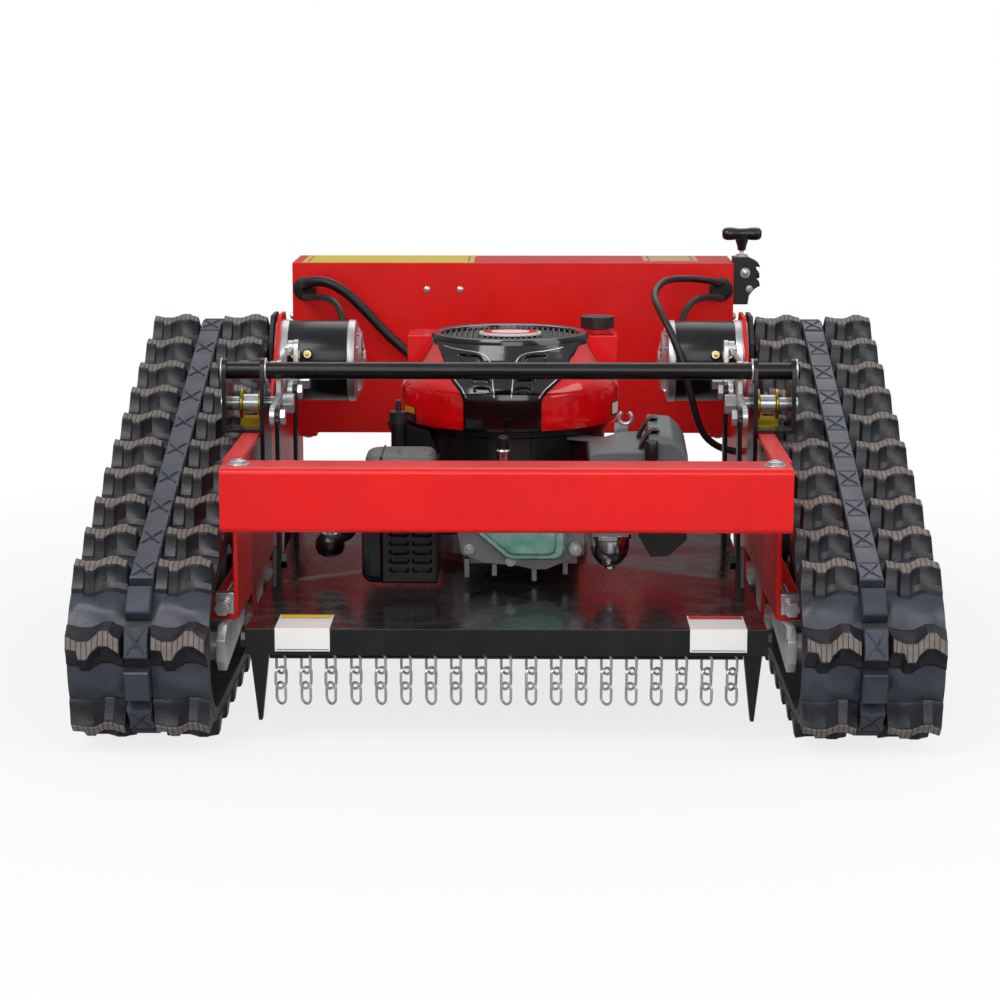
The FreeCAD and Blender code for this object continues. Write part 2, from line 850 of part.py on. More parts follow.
def tie_rod():
    """The rod that links the front and rear rocker of one side."""
    z = rocker_z + rocker_tie_rise
    rod = rod_y(rocker_front_y, rocker_rear_y, tie_x + tie_eye_width / 2, z, tie_rod_radius - side_gap * 4)
    ends = []
    bores = []
    for y in (rocker_front_y, rocker_rear_y):
        ends.append(rod_x(tie_x, tie_x + tie_eye_width, y, z, tie_eye_radius))
        bores.append(
            pin_x(tie_x - cut_overrun, tie_x + tie_eye_width + cut_overrun, y, z, link_pin_radius + link_fit),
        )
    body = fuse(rod, ends)
    for bore in bores:
        body = body.cut(bore)
    return body


def hanger_strap(pivot_y):
    """A flat strap from a rocker's pin down to its ear on the deck."""
    pin_y, pin_z = rocker_pin(pivot_y)
    half = strap_width / 2
    x0, x1 = strap_x, strap_x + strap_thickness
    strap = block(x0, x1, pin_y - half, pin_y + half, deck_top_z, pin_z)
    top = rod_x(x0, x1, pin_y, pin_z, strap_eye_radius)
    bore = pin_x(x0 - cut_overrun, x1 + cut_overrun, pin_y, pin_z, link_pin_radius + link_fit)
    bolt = rod_x(x0 - nut_thickness, x1 + strap_thickness, pin_y, strap_bottom_z, link_pin_radius)
    head = hex_x(x0 - nut_thickness, x0, pin_y, strap_bottom_z, nut_radius)
    return fuse(fuse(strap, [top]).cut(bore), [bolt, head])


# Drive

def motor_can():
    """The round black can of a drive motor."""
    x1 = motor_flange_x - motor_ring_length
    return rod_x(x1 - motor_can_length, x1, motor_axis_y, motor_axis_z, motor_radius - side_gap * 2)


def motor_shields():
    """The drive end ring and the stepped inner end cap."""
    ring = rod_x(motor_flange_x - motor_ring_length, motor_flange_x, motor_axis_y, motor_axis_z, motor_radius)
    x = motor_flange_x - motor_ring_length - motor_can_length
    cap = rod_x(x - motor_cap_length / 2, x, motor_axis_y, motor_axis_z, motor_radius)
    step = motor_cap_length / 2 / motor_cap_steps
    rim = motor_radius - motor_ring_length / motor_cap_steps
    cap_mid = rod_x(x - motor_cap_length + step, x - motor_cap_length / 2, motor_axis_y, motor_axis_z, rim)
    boss = rod_x(
        x - motor_cap_length, x - motor_cap_length + step, motor_axis_y, motor_axis_z, cap_boss_radius,
    )
    ribs = []
    for k in range(motor_cap_ribs):
        rib = block(
            x - motor_cap_length + step / 2, x - motor_cap_length + step, -fin_thickness / 2,
            fin_thickness / 2,
            cap_boss_radius / 2, rim - fin_thickness,
        )
        rib.rotate(V(0, 0, 0), ALONG_X, 360 * k / motor_cap_ribs)
        rib.translate(V(0, motor_axis_y, motor_axis_z))
        ribs.append(rib)
    return [ring, fuse(cap, [cap_mid, boss] + ribs)]


def motor_terminals():
    """Two brass studs with a nut each on top of the can, towards the front."""
    studs = []
    slope = math.sqrt(1 / 2)
    middle = motor_flange_x - motor_ring_length - motor_can_length / 4
    for k in (0, 1):
        x = middle - k * terminal_spacing
        reach = motor_radius - side_gap * 2
        base = V(x, motor_axis_y - (reach - terminal_radius) * slope,
            motor_axis_z + (reach - terminal_radius) * slope)
        stud = Part.makeCylinder(
            terminal_radius, terminal_height + terminal_radius, base, V(0, -slope, slope),
        )
        studs.append(stud.cut(motor_can()))
    return studs


def gearcase():
    """The reduction gear case between motor and sprocket, with its output shaft."""
    x0 = motor_flange_x
    x1 = x0 + gearcase_plate
    plate = plate_x(
        [
            (motor_axis_y - motor_plate_half_length, arm_top_z),
            (motor_axis_y - motor_plate_half_length, motor_axis_z + motor_plate_half_length / 2),
            (motor_axis_y - motor_plate_half_length / 2, motor_plate_top_z),
            (motor_axis_y + motor_plate_half_length / 2, motor_plate_top_z),
            (motor_axis_y + motor_plate_half_length, motor_axis_z + motor_plate_half_length / 2),
            (motor_axis_y + motor_plate_half_length, arm_top_z),
        ],
        x0, x1,
    )
    case = rod_x(x1, x1 + gearcase_depth, sprocket_y, sprocket_z, gearcase_radius)
    low = rod_x(x0, x1, sprocket_y, sprocket_z, gearcase_radius)
    shaft_end = track_centre_x + wheel_width / 2 + axle_head_length
    shaft = pin_x(x1 + gearcase_depth, shaft_end, sprocket_y, sprocket_z, gear_shaft_radius)
    spacer = block(
        frame_outer_x, x0, motor_axis_y - motor_plate_half_length, motor_axis_y + motor_plate_half_length,
        arm_top_z - motor_radius, motor_axis_z - motor_radius - side_gap,
    )
    return fuse(plate, [case, low, shaft, spacer])


# Control box

def control_box():
    """The bent sheet box: front, top, floor and sides, open at the back behind a lip."""
    w, t = box_half_width, box_sheet
    shell = block(-w, w, box_front_y, box_rear_y - t, box_bottom_z, box_top_z)
    room = block(-w + t, w - t, box_front_y + t, box_rear_y, box_bottom_z + t, box_top_z - t)
    box = shell.cut(room)
    for x in (-cable_hole_x, cable_hole_x):
        hole = rod_y(
            box_front_y - cut_overrun, box_front_y + t + cut_overrun, x, cable_hole_z, cable_hole_radius,
        )
        box = box.cut(hole)
    return box


def box_cover():
    """The screwed rear cover with its folded rim inside the box."""
    w, t = box_half_width, box_sheet
    cover = block(-w, w, box_rear_y - t, box_rear_y, box_bottom_z, box_top_z)
    rim_room = t + running_gap
    rim = block(
        -w + rim_room, w - rim_room, box_rear_y - t - box_lip, box_rear_y - t, box_bottom_z + rim_room,
        box_top_z - rim_room,
    )
    inside = block(
        -w + rim_room + t, w - rim_room - t, box_rear_y - t - box_lip - cut_overrun, box_rear_y - t,
        box_bottom_z + rim_room + t, box_top_z - rim_room - t,
    )
    collar_end = box_rear_y + stop_collar_depth
    collar = rod_y(box_rear_y, collar_end, stop_button_x, stop_button_z, stop_collar_radius)
    hole = rod_y(
        box_rear_y - t - cut_overrun, collar_end + cut_overrun, stop_button_x, stop_button_z,
        stop_button_radius / 2 + axle_fit,
    )
    return [fuse(cover, [rim.cut(inside)]).cut(hole), collar.cut(hole)]


def battery_pack():
    """Two equal batteries on the floor of the box."""
    cells = []
    floor = box_bottom_z + box_sheet
    for x in (-battery_length - cut_overrun, cut_overrun):
        y0 = box_front_y + box_sheet + cut_overrun * 4
        cells.append(block(x, x + battery_length, y0, y0 + battery_width, floor, floor + battery_height))
    return cells


def controllers():
    """Two drive controllers on the inside of the front wall, left of the batteries, with fins."""
    units = []
    floor = box_bottom_z + box_sheet
    for x in (-box_half_width + box_sheet + cut_overrun * 4,):
        y0 = box_front_y + box_sheet
        width = box_half_width - battery_length - box_sheet - cut_overrun * 8
        base = block(x, x + width, y0, y0 + controller_depth, floor, floor + controller_height)
        units.append(base)
        fin_step = width / fin_count
        fins = [
            block(x + k * fin_step, x + k * fin_step + fin_thickness, y0 + controller_depth,
                  y0 + controller_depth + fin_height, floor, floor + controller_height)
            for k in range(fin_count)
        ]
        units = [fuse(base, fins)]
    return units


def stop_button():
    """The mushroom head of the emergency stop and its stem through the collar."""
    head_y = box_rear_y + stop_collar_depth + stop_button_travel
    stem_y = box_rear_y - box_sheet - box_lip
    stem = rod_y(stem_y, head_y, stop_button_x, stop_button_z, stop_button_radius / 2)
    head = rod_y(head_y, head_y + stop_button_depth, stop_button_x, stop_button_z, stop_button_radius)
    return fuse(stem, [head])


# Deck

def ear_places():
    """Y of the front and rear hanger ears."""
    return [rocker_pin(rocker_front_y)[0], rocker_pin(rocker_rear_y)[0]]


def mower_deck():
    """The deck: top sheet, deep skirt, shallow front fold, hanger ears and chain rod."""
    w, t = deck_half_width, deck_sheet
    cut = deck_corner_cut
    top_outline = [
        (-w, deck_front_y), (w, deck_front_y), (w, deck_rear_y - cut), (w - cut, deck_rear_y),
        (-w + cut, deck_rear_y), (-w, deck_rear_y - cut),
    ]
    room_outline = [
        (-w + t, deck_front_y + t), (w - t, deck_front_y + t), (w - t, deck_rear_y - cut - t / 2),
        (w - cut - t / 2, deck_rear_y - t), (-w + cut + t / 2, deck_rear_y - t),
        (-w + t, deck_rear_y - cut - t / 2),
    ]
    shell = plate_z(top_outline, deck_skirt_bottom_z, deck_top_z)
    room = plate_z(room_outline, deck_skirt_bottom_z - cut_overrun, deck_top_z - t)
    front_cut = block(
        -w - cut_overrun, w + cut_overrun, deck_front_y - cut_overrun, deck_front_y + cut,
        deck_skirt_bottom_z - cut_overrun, deck_fold_bottom_z,
    )
    shaft_hole = rod_z(
        deck_top_z - t - cut_overrun, deck_top_z + cut_overrun, 0, engine_y, shaft_radius + running_gap * 5
    )
    ears = []
    for y in ear_places():
        for side in (-1, 1):
            x0 = side * (strap_x + strap_thickness)
            x1 = x0 + side * strap_thickness
            ears.append(plate_x(
                [
                    (y - ear_half_length, deck_top_z), (y + ear_half_length, deck_top_z),
                    (y + ear_half_length / 2, deck_top_z + ear_height),
                    (y - ear_half_length / 2, deck_top_z + ear_height),
                ],
                min(x0, x1), max(x0, x1),
            ))
    deck = fuse(shell.cut(room).cut(front_cut), ears).cut(shaft_hole)
    for y in ear_places():
        deck = deck.cut(rod_x(-w, w, y, strap_bottom_z, link_pin_radius))
    return deck


def deck_bolts():
    """The bolts through the ends of the front fold."""
    y = deck_front_y + ear_half_length
    z = (deck_top_z + deck_fold_bottom_z) / 2
    bolts = []
    for side in (-1, 1):
        x = side * deck_half_width
        end = x + side * bolt_head_height
        bolts.append(hex_x(min(x, end), max(x, end), y, z, bolt_head_radius))
    return bolts


def deck_spikes():
    """Tapered guard spikes at the front corners, with the rod that carries the chains."""
    spikes = []
    half, tip = spike_top_width / 2, spike_tip_width / 2
    y0 = deck_front_y + deck_sheet
    for side in (-1, 1):
        x = side * spike_centre_x
        spikes.append(plate_y(
            [(x - half, deck_top_z - deck_sheet), (x + half, deck_top_z - deck_sheet),
                (x + half, deck_fold_bottom_z),
             (x + tip, spike_tip_z), (x - tip, spike_tip_z), (x - half, deck_fold_bottom_z)],
            y0, y0 + spike_thickness * 2,
        ))
    inner = spike_centre_x - half
    rod = rod_x(-inner, inner, curtain_rod_y, curtain_rod_z, curtain_rod_radius)
    return [fuse(rod, spikes)]


def chain_link():
    """One flat ring link, centred, upright in the XZ plane."""
    half_w = link_inner_width / 2 + link_wire
    half_l = link_pitch / 2 + link_wire
    corner_shares = (
        (1, 1 / 2), (1 / 2, 1), (-1 / 2, 1), (-1, 1 / 2), (-1, -1 / 2), (-1 / 2, -1), (1 / 2, -1), (1, -1 / 2),
    )
    outer = plate_y([(half_w * a, half_l * b) for a, b in corner_shares], -link_wire / 2, link_wire / 2)
    room_w, room_l = half_w - link_wire, half_l - link_wire
    hole = plate_y(
        [(room_w, room_l), (-room_w, room_l), (-room_w, -room_l), (room_w, -room_l)], -link_wire, link_wire,
    )
    return outer.cut(hole)


def chain_curtain():
    """All chains of the front curtain, each of equal links turned crosswise by turns."""
    link = chain_link()
    pieces = []
    step = chain_span / (chain_count - 1)
    first_z = curtain_rod_z + curtain_rod_radius + running_gap - link_pitch / 2
    for k in range(chain_count):
        x = -chain_span / 2 + k * step
        for n in range(chain_links):
            turn = 45 if n % 2 else -45
            placed = link.copy()
            z = first_z - n * (link_pitch - link_slack)
            placed.Placement = FreeCAD.Placement(V(x, curtain_rod_y, z), FreeCAD.Rotation(ALONG_Z, turn))
            pieces.append(placed)
    return pieces


# Engine

def cutter_blade():
    """The cutting bar with raised wings, its hub and bolt."""
    half, w, t = blade_length / 2, blade_width / 2, blade_thickness
    flat = half * 2 / 3
    section = [
        (-half, blade_z), (half, blade_z), (half, blade_z + t), (-half, blade_z + t),
    ]
    bar = plate_y(section, engine_y - w, engine_y + w)
    wings = []
    for side in (-1, 1):
        y0 = engine_y + side * w
        wing = polygon([
            V(side * flat, y0, blade_z + t), V(side * half, y0, blade_z + t),
            V(side * half, y0 - side * w / 2, blade_z + t), V(side * flat, y0 - side * w / 2, blade_z + t),
        ])
        top = polygon([
            V(side * flat, y0, blade_z + t * 3), V(side * half, y0, blade_z + t * 3),
            V(side * half, y0 - side * t, blade_z + t * 3), V(side * flat, y0 - side * t, blade_z + t * 3),
        ])
        wings.append(Part.makeLoft([wing.OuterWire, top.OuterWire], True, True))
    hub = plate_z(ring_points(blade_hub_radius, 16, 0, engine_y), blade_z + t, blade_z + t * 3)
    head = hex_z(blade_z - t * 2, blade_z, 0, engine_y, blade_hub_radius / 2)
    return fuse(bar, wings + [hub, head])


def crankshaft():
    """The upright shaft with its flywheel and fan blades."""
    bottom = blade_z + blade_thickness * 3
    shaft = pin_z(bottom, flywheel_z + flywheel_height, 0, engine_y, shaft_radius)
    wheel = plate_z(
        ring_points(flywheel_radius, 24, 0, engine_y), flywheel_z, flywheel_z + flywheel_height / 3,
    )
    vanes = []
    for k in range(fin_count):
        angle = 360 * k / fin_count
        vane = block(
            flywheel_radius / 2, flywheel_radius - fin_thickness * 2, -fin_thickness / 2, fin_thickness / 2,
            flywheel_z + flywheel_height / 3, flywheel_z + flywheel_height,
        )
        vane.rotate(V(0, 0, 0), ALONG_Z, angle)
        vane.translate(V(0, engine_y, 0))
        vanes.append(vane)
    return fuse(shaft, [wheel] + vanes)


def shaft_room(z0, z1, extra):
    """The space that the shaft turns in."""
    return pin_z(z0, z1, 0, engine_y, shaft_radius + extra)


def engine_block():
    """Crankcase on its foot, with the finned cylinder to the front and the fan base."""
    foot = plate_z(
        ring_points(engine_foot_radius, 16, 0, engine_y), deck_top_z, deck_top_z + engine_foot_height,
    )
    w = case_half_width
    c = cover_corner
    case = plate_z(
        [
            (-w + c, case_front_y), (w - c, case_front_y), (w, case_front_y + c), (w, case_rear_y - c),
            (w - c, case_rear_y), (-w + c, case_rear_y), (-w, case_rear_y - c), (-w, case_front_y + c),
        ],
        deck_top_z + engine_foot_height, case_top_z,
    )
    barrel = block(
        cylinder_left_x + fin_height, cylinder_right_x - fin_height, cylinder_front_y, case_front_y,
        cylinder_bottom_z + fin_height, cylinder_top_z - fin_height,
    )
    step = (case_front_y - cylinder_front_y) / fin_count
    fins = [
        block(cylinder_left_x, cylinder_right_x, cylinder_front_y + k * step,
            cylinder_front_y + k * step + fin_thickness,
              cylinder_bottom_z, cylinder_top_z)
        for k in range(fin_count)
    ]
    neck = plate_z(ring_points(base_radius * 2 / 3, 12, 0, engine_y), case_top_z, base_bottom_z)
    body = fuse(foot, [case, barrel, neck] + fins)
    port_z = exhaust_port_z()
    port_y = exhaust_port_y()
    port = block(
        cylinder_left_x, cylinder_left_x + fin_height, port_y - bowl_radius / 2, port_y + bowl_radius / 2,
        port_z - bowl_radius / 2, port_z + bowl_radius / 2,
    )
    body = fuse(body, [port])
    return body.cut(shaft_room(deck_top_z - cut_overrun, base_bottom_z + cut_overrun, bearing_gap))


def fan_base():
    """The black tray under the shroud."""
    tray = plate_z(ring_points(base_radius, shroud_sides, 0, engine_y), base_bottom_z, shroud_bottom_z)
    room = plate_z(
        ring_points(base_radius - shroud_wall, shroud_sides, 0, engine_y), base_bottom_z + shroud_wall,
        shroud_bottom_z + cut_overrun,
    )
    return tray.cut(room).cut(shaft_room(base_bottom_z - cut_overrun, shroud_bottom_z, bearing_gap))


def shroud_form(grow, low, high):
    """The shroud's outer form, grown outward: stacked rings joined by ruled sides."""
    ring_shares = ((0, 1), (1 / 4, 1), (3 / 5, 9 / 10), (1, 29 / 40))
    height = high - low
    rings = []
    for level, share in ring_shares:
        radius = shroud_radius * share + grow
        z = low + height * level
        rings.append([V(x, y, z) for x, y in ring_points(radius, shroud_sides, 0, engine_y)])
    return skin(rings)


def blower_housing():
    """The red fan shroud, hollow, open on top under the screen."""
    high = screen_bottom_z
    outer = shroud_form(0, shroud_bottom_z, high)
    inner = shroud_form(-shroud_wall, shroud_bottom_z - cut_overrun, high + cut_overrun)
    return outer.cut(inner)


def shroud_bib():
    """The black front panel that lies on the shroud below the screen."""
    gap = side_gap / 5
    outer = shroud_form(bib_thickness, shroud_bottom_z, screen_bottom_z)
    inner = shroud_form(gap, shroud_bottom_z, screen_bottom_z)
    front = block(
        bib_left_x, bib_right_x, engine_y - shroud_radius * 2, engine_y, shroud_bottom_z, screen_bottom_z
    )
    return outer.cut(inner).common(front)


def screen_cover():
    """The round top screen with its rim, slots and centre cap."""
    rim = plate_z(
        ring_points(screen_radius + bib_thickness, shroud_sides, 0, engine_y), screen_bottom_z, screen_top_z,
    )
    low = plate_z(
        ring_points(screen_radius, shroud_sides, 0, engine_y), screen_top_z - shroud_wall,
        screen_top_z + cut_overrun
    )
    cover = rim.cut(low)
    room = plate_z(
        ring_points(screen_radius - shroud_wall, shroud_sides, 0, engine_y), screen_bottom_z - cut_overrun,
        screen_top_z - shroud_wall * 2,
    )
    cover = cover.cut(room)
    slots = []
    for k in range(shroud_sides):
        angle = 360 * (k + 1 / 2) / shroud_sides
        slot = block(
            screen_hole_radius, screen_radius - shroud_wall * 2, -fin_thickness, fin_thickness,
            screen_bottom_z - cut_overrun, screen_top_z + cut_overrun,
        )
        slot.rotate(V(0, 0, 0), ALONG_Z, angle)
        slot.translate(V(0, engine_y, 0))
        slots.append(slot)
    return cover.cut(Part.makeCompound(slots[::2]))


def valve_cover():
    """The valve cover on the head, with cut corners and a stepped flange."""
    c = cover_corner
    x0, x1 = cover_left_x, cover_right_x
    z0, z1 = cylinder_bottom_z - fin_height / 2, cylinder_top_z

    def outline(inset):
        """Eight corners drawn in by an inset."""
        return [
            (x0 + c, z0 + inset), (x1 - c, z0 + inset), (x1 - inset, z0 + c), (x1 - inset, z1 - c),
            (x1 - c, z1 - inset), (x0 + c, z1 - inset), (x0 + inset, z1 - c), (x0 + inset, z0 + c),
        ]

    head = plate_y(outline(0), cylinder_front_y - cover_depth / 3, cylinder_front_y)
    cover = plate_y(outline(c / 3), cylinder_front_y - cover_depth, cylinder_front_y - cover_depth / 3)
    return fuse(head, [cover])


def muffler():
    """The silencer box with its slotted front and top cap."""
    c = cover_corner / 2
    x0, x1 = muffler_left_x, muffler_right_x
    z0, z1 = muffler_bottom_z, muffler_top_z
    body = plate_y(
        [(x0 + c, z0), (x1 - c, z0), (x1, z0 + c), (x1, z1 - c), (x1 - c, z1), (x0 + c, z1), (x0, z1 - c),
            (x0, z0 + c)],
        muffler_front_y, muffler_rear_y,
    )
    cap = block(x0 + c, x1 - c, muffler_front_y + c, muffler_rear_y - c, z1, z1 + engine_foot_height)
    pipe = rod_x(muffler_right_x, cylinder_left_x, exhaust_port_y(), exhaust_port_z(), bowl_radius / 2)
    body = fuse(body, [cap])
    for column in (0, 1):
        for row in range(muffler_slots):
            sx = x0 + c / 2 + column * (muffler_slot_width + c) + c / 4
            sz = z0 + c + row * muffler_slot_height * 2
            body = body.cut(block(
                sx, sx + muffler_slot_width, muffler_front_y - cut_overrun,
                muffler_front_y + muffler_slot_depth, sz,
                sz + muffler_slot_height,
            ))
    return [body, pipe]


def exhaust_port_y():
    """Y of the exhaust port on the cylinder's side."""
    return (cylinder_front_y + case_front_y) / 2 - bowl_radius * 3 / 2


def exhaust_port_z():
    """Height of the exhaust port."""
    return (cylinder_bottom_z + cylinder_top_z) / 2


def spark_plug():
    """The plug in the head, under its rubber boot, pointing forward and up."""
    y = cylinder_front_y + plug_radius
    z = cylinder_top_z - fin_height
    out = V(0, -1 / 2, math.sqrt(3) / 2)
    over = out.cross(ALONG_X)
    body = skin([
        [V(plug_x, y, z) + out * (plug_length * share) + ALONG_X * a + over * b
         for a, b in ring_points(radius, few_sides)]
        for radius, share in ((plug_radius / 2, 0), (plug_radius / 2, 1 / 2), (plug_radius, 1 / 2),
            (plug_radius, 1))
    ])
    return body.cut(engine_block())


def carburetor():
    """The carburetor: float bowl, body, throat to the cylinder and riser to the filter."""
    bowl = plate_z(ring_points(bowl_radius, 16, carb_x, carb_y), bowl_bottom_z, bowl_bottom_z + bowl_height)
    r = bowl_radius
    body = block(
        carb_x - r, carb_x + r, carb_y - r, carb_y + r, bowl_bottom_z + bowl_height,
        bowl_bottom_z + bowl_height + r * 2
    )
    riser = rod_z(bowl_bottom_z + bowl_height + r * 2, filter_bottom_z, carb_x, carb_y, r * 3 / 4)
    throat_z = bowl_bottom_z + bowl_height + r
    throat = rod_y(carb_y + r, case_front_y, carb_x - r, throat_z, r / 2)
    elbow = block(
        cylinder_right_x, carb_x - r / 2, case_front_y - r * 2, case_front_y - r, throat_z - r / 2,
        throat_z + r / 2
    )
    drain = hex_z(bowl_bottom_z - fin_height, bowl_bottom_z, carb_x, carb_y, r / 3)
    return fuse(bowl, [body, riser, throat, elbow, drain]).cut(valve_cover())


def air_filter():
    """The filter box with its sloped front and its latched lid."""
    x0, x1 = filter_left_x, filter_right_x
    z0, z1 = filter_bottom_z, filter_top_z
    split = x0 + (x1 - x0) * 3 / 5
    low_side = plate_y([(x0, z0), (split, z0), (split, z1 - cover_corner / 2), (x0, z0 + cover_corner)],
        filter_front_y, filter_rear_y)
    lid = plate_y(
        [(split, z0), (x1, z0), (x1, z1 - cover_corner * 2), (x1 - cover_corner, z1), (split, z1)],
        filter_front_y + side_gap, filter_rear_y - side_gap,
    )
    latches = [
        block(split - fin_height, split + fin_height, y, y + cover_corner, z1 - cover_corner / 2,
            z1 + fin_thickness)
        for y in (filter_front_y + cover_corner, filter_rear_y - cover_corner * 2)
    ]
    mount = block(x0, x0 + cover_corner, filter_rear_y, -base_radius * 2 / 3, z0, z0 + cover_corner * 3 / 4)
    return fuse(low_side, [lid, mount] + latches)


def fuel_tank():
    """The tank behind the shroud, with its filler neck."""
    c = cover_corner
    x0, x1, y0, y1 = tank_left_x, tank_right_x, tank_front_y, tank_rear_y
    tank = plate_z(
        [(x0, y0), (x1, y0), (x1, y1 - c), (x1 - c, y1), (x0 + c, y1), (x0, y1 - c)], tank_bottom_z,
        tank_top_z
    )
    keep_out = plate_z(
        ring_points(shroud_radius + running_gap, shroud_sides, 0, engine_y), tank_bottom_z - cut_overrun,
        tank_top_z + cut_overrun,
    )
    tank = tank.cut(keep_out)
    leg = block(
        -case_half_width / 2, case_half_width / 2, case_rear_y, tank_rear_y - cover_corner, case_top_z - c,
        case_top_z,
    )
    post = block(
        -case_half_width / 2, case_half_width / 2, shroud_radius + fin_height, tank_rear_y - cover_corner,
        case_top_z,
        tank_bottom_z,
    )
    neck_y = (shroud_radius + tank_rear_y) / 2
    neck = rod_z(tank_top_z, tank_top_z + fin_height / 2, fuel_cap_x, neck_y, fuel_cap_radius * 3 / 4)
    body = tank.multiFuse([leg, post, neck]).removeSplitter()
    return body, neck_y


def fuel_cap(neck_y):
    """The grooved cap on the filler neck."""
    z0 = tank_top_z + fin_height / 2 + side_gap / 2
    rim = []
    for k in range(24):
        radius = fuel_cap_radius if k % 2 else fuel_cap_radius - fin_thickness / 2
        angle = 2 * math.pi * k / 24
        rim.append((fuel_cap_x + radius * math.cos(angle), neck_y + radius * math.sin(angle)))
    return plate_z(rim, z0, z0 + fuel_cap_height)


def oil_filler():
    """The oil filler tube with its root on the crankcase."""
    z0 = deck_top_z + engine_foot_height * 3
    tube = rod_z(z0, dipstick_top_z - plug_length / 2, dipstick_x, dipstick_y, dipstick_radius)
    root = block(
        dipstick_x - dipstick_radius / 2, -case_half_width, case_front_y + cover_corner,
        case_front_y + cover_corner * 2,
        z0, z0 + dipstick_radius,
    )
    side = block(
        dipstick_x - dipstick_radius / 2, dipstick_x + dipstick_radius / 2, dipstick_y,
        case_front_y + cover_corner * 2,
        z0, z0 + dipstick_radius,
    )
    return fuse(tube, [root, side])


def dipstick_cap():
    """The winged cap on top of the filler tube."""
    z0 = dipstick_top_z - plug_length / 2 + side_gap / 2
    cap = plate_z(
        ring_points(dipstick_radius + fin_thickness, 12, dipstick_x, dipstick_y), z0, z0 + engine_foot_height,
    )
    wing = block(
        dipstick_x - fin_thickness, dipstick_x + fin_thickness, dipstick_y - dipstick_radius,
        dipstick_y + dipstick_radius, z0 + engine_foot_height, dipstick_top_z,
    )
    return fuse(cap, [wing])


def throttle_bracket():
    """The plate on the fan tray's side that carries the throttle lever's pin."""
    z = throttle_z - throttle_plate * 2
    half = cover_corner / 2
    arm = plate_z(
        [
            (throttle_x - half, throttle_y - half), (throttle_x + half, throttle_y - half),
            (throttle_x + half, throttle_y + half), (base_radius / 2, -base_radius / 2),
            (base_radius / 2, -base_radius * 3 / 4),
        ],
        z, z + throttle_plate,
    )
    tray = plate_z(ring_points(base_radius, shroud_sides, 0, engine_y), base_bottom_z, shroud_bottom_z)
    pin = pin_z(
        z + throttle_plate, throttle_z + throttle_plate * 2, throttle_x, throttle_y, link_pin_radius / 2,
    )
    return fuse(arm.cut(tray), [pin])


def throttle_lever():
    """The lever with its cable eye, turning on the bracket's pin."""
    z0, z1 = throttle_z, throttle_z + throttle_plate
    half = cover_corner / 2
    arm = plate_z(
        [
            (throttle_x - half, throttle_y - half), (throttle_x + half, throttle_y - half),
            (throttle_x + half / 2, throttle_y + throttle_reach),
            (throttle_x - half / 2, throttle_y + throttle_reach),
        ],
        z0, z1,
    )
    ear = block(
        throttle_x - half, throttle_x + half, throttle_y - half, throttle_y - half + throttle_plate, z1,
        z1 + cover_corner
    )
    bore = pin_z(z0 - cut_overrun, z1 + cut_overrun, throttle_x, throttle_y, link_pin_radius / 2 + link_fit)
    return fuse(arm, [ear]).cut(bore)


# Starter handle and cables

def rope_guide():
    """The moulded guide on the side of the box: a round body with two side mouths and a foot."""
    y0, y1 = rope_y - guide_half_width, rope_y + guide_half_width
    x0, x1 = box_half_width, guide_outer_x
    z0, z1 = guide_bottom_z, guide_top_z
    w, h = x1 - x0, z1 - z0
    side_shares = (
        (0, 1), (11 / 20, 1), (9 / 10, 9 / 10), (1, 4 / 5), (19 / 20, 7 / 10), (4 / 5, 3 / 5),
        (19 / 20, 1 / 2), (1, 2 / 5), (4 / 5, 1 / 3), (3 / 5, 1 / 5), (11 / 20, 0), (0, 0),
    )
    body = plate_y([(x0 + w * a, z0 + h * b) for a, b in side_shares], y0, y1)
    mouth_z = z0 + h * 7 / 10
    mouth = block(
        x0 + w * 3 / 4, x1 + cut_overrun, y0 - cut_overrun, y1 + cut_overrun, mouth_z, mouth_z + h / 10,
    )
    bore = rod_z(z1 - h / 4, z1 + cut_overrun, guide_rope_x(), rope_y, rope_radius + running_gap)
    bolt_z = z0 + h / 2
    bolt = hex_x(x1 - w / 5, x1, rope_y, bolt_z + h / 10, bolt_head_radius / 2)
    return [body.cut(mouth).cut(bore).cut(bolt), bolt]


def guide_rope_x():
    """X of the rope, in the middle of the guide."""
    return box_half_width + (guide_outer_x - box_half_width) / 3


def starter_handle():
    """The T handle with rounded ends and its socket for the rope."""
    x = guide_rope_x()
    h, d = handle_half_length, handle_half_depth
    z0 = handle_bottom_z
    z1 = z0 + handle_height
    grip = plate_x(
        [(rope_y - d, z0 + d / 2), (rope_y - d / 2, z0), (rope_y + d / 2, z0), (rope_y + d, z0 + d / 2),
         (rope_y + d, z1 - d / 2), (rope_y + d / 2, z1), (rope_y - d / 2, z1), (rope_y - d, z1 - d / 2)],
        x - h, x + h,
    )
    stem = skin([
        [V(px, py, z) for px, py in ring_points(radius, some_sides, x, rope_y)]
        for radius, z in ((d * 3 / 5, z0 - d * 3 / 2), (d * 6 / 5, z0 + d / 2))
    ])
    return fuse(grip, [stem])


def starter_rope():
    """The short visible length of rope between guide and handle."""
    z1 = handle_bottom_z - handle_half_depth * 3 / 2
    return rod_z(guide_top_z, z1, guide_rope_x(), rope_y, rope_radius)


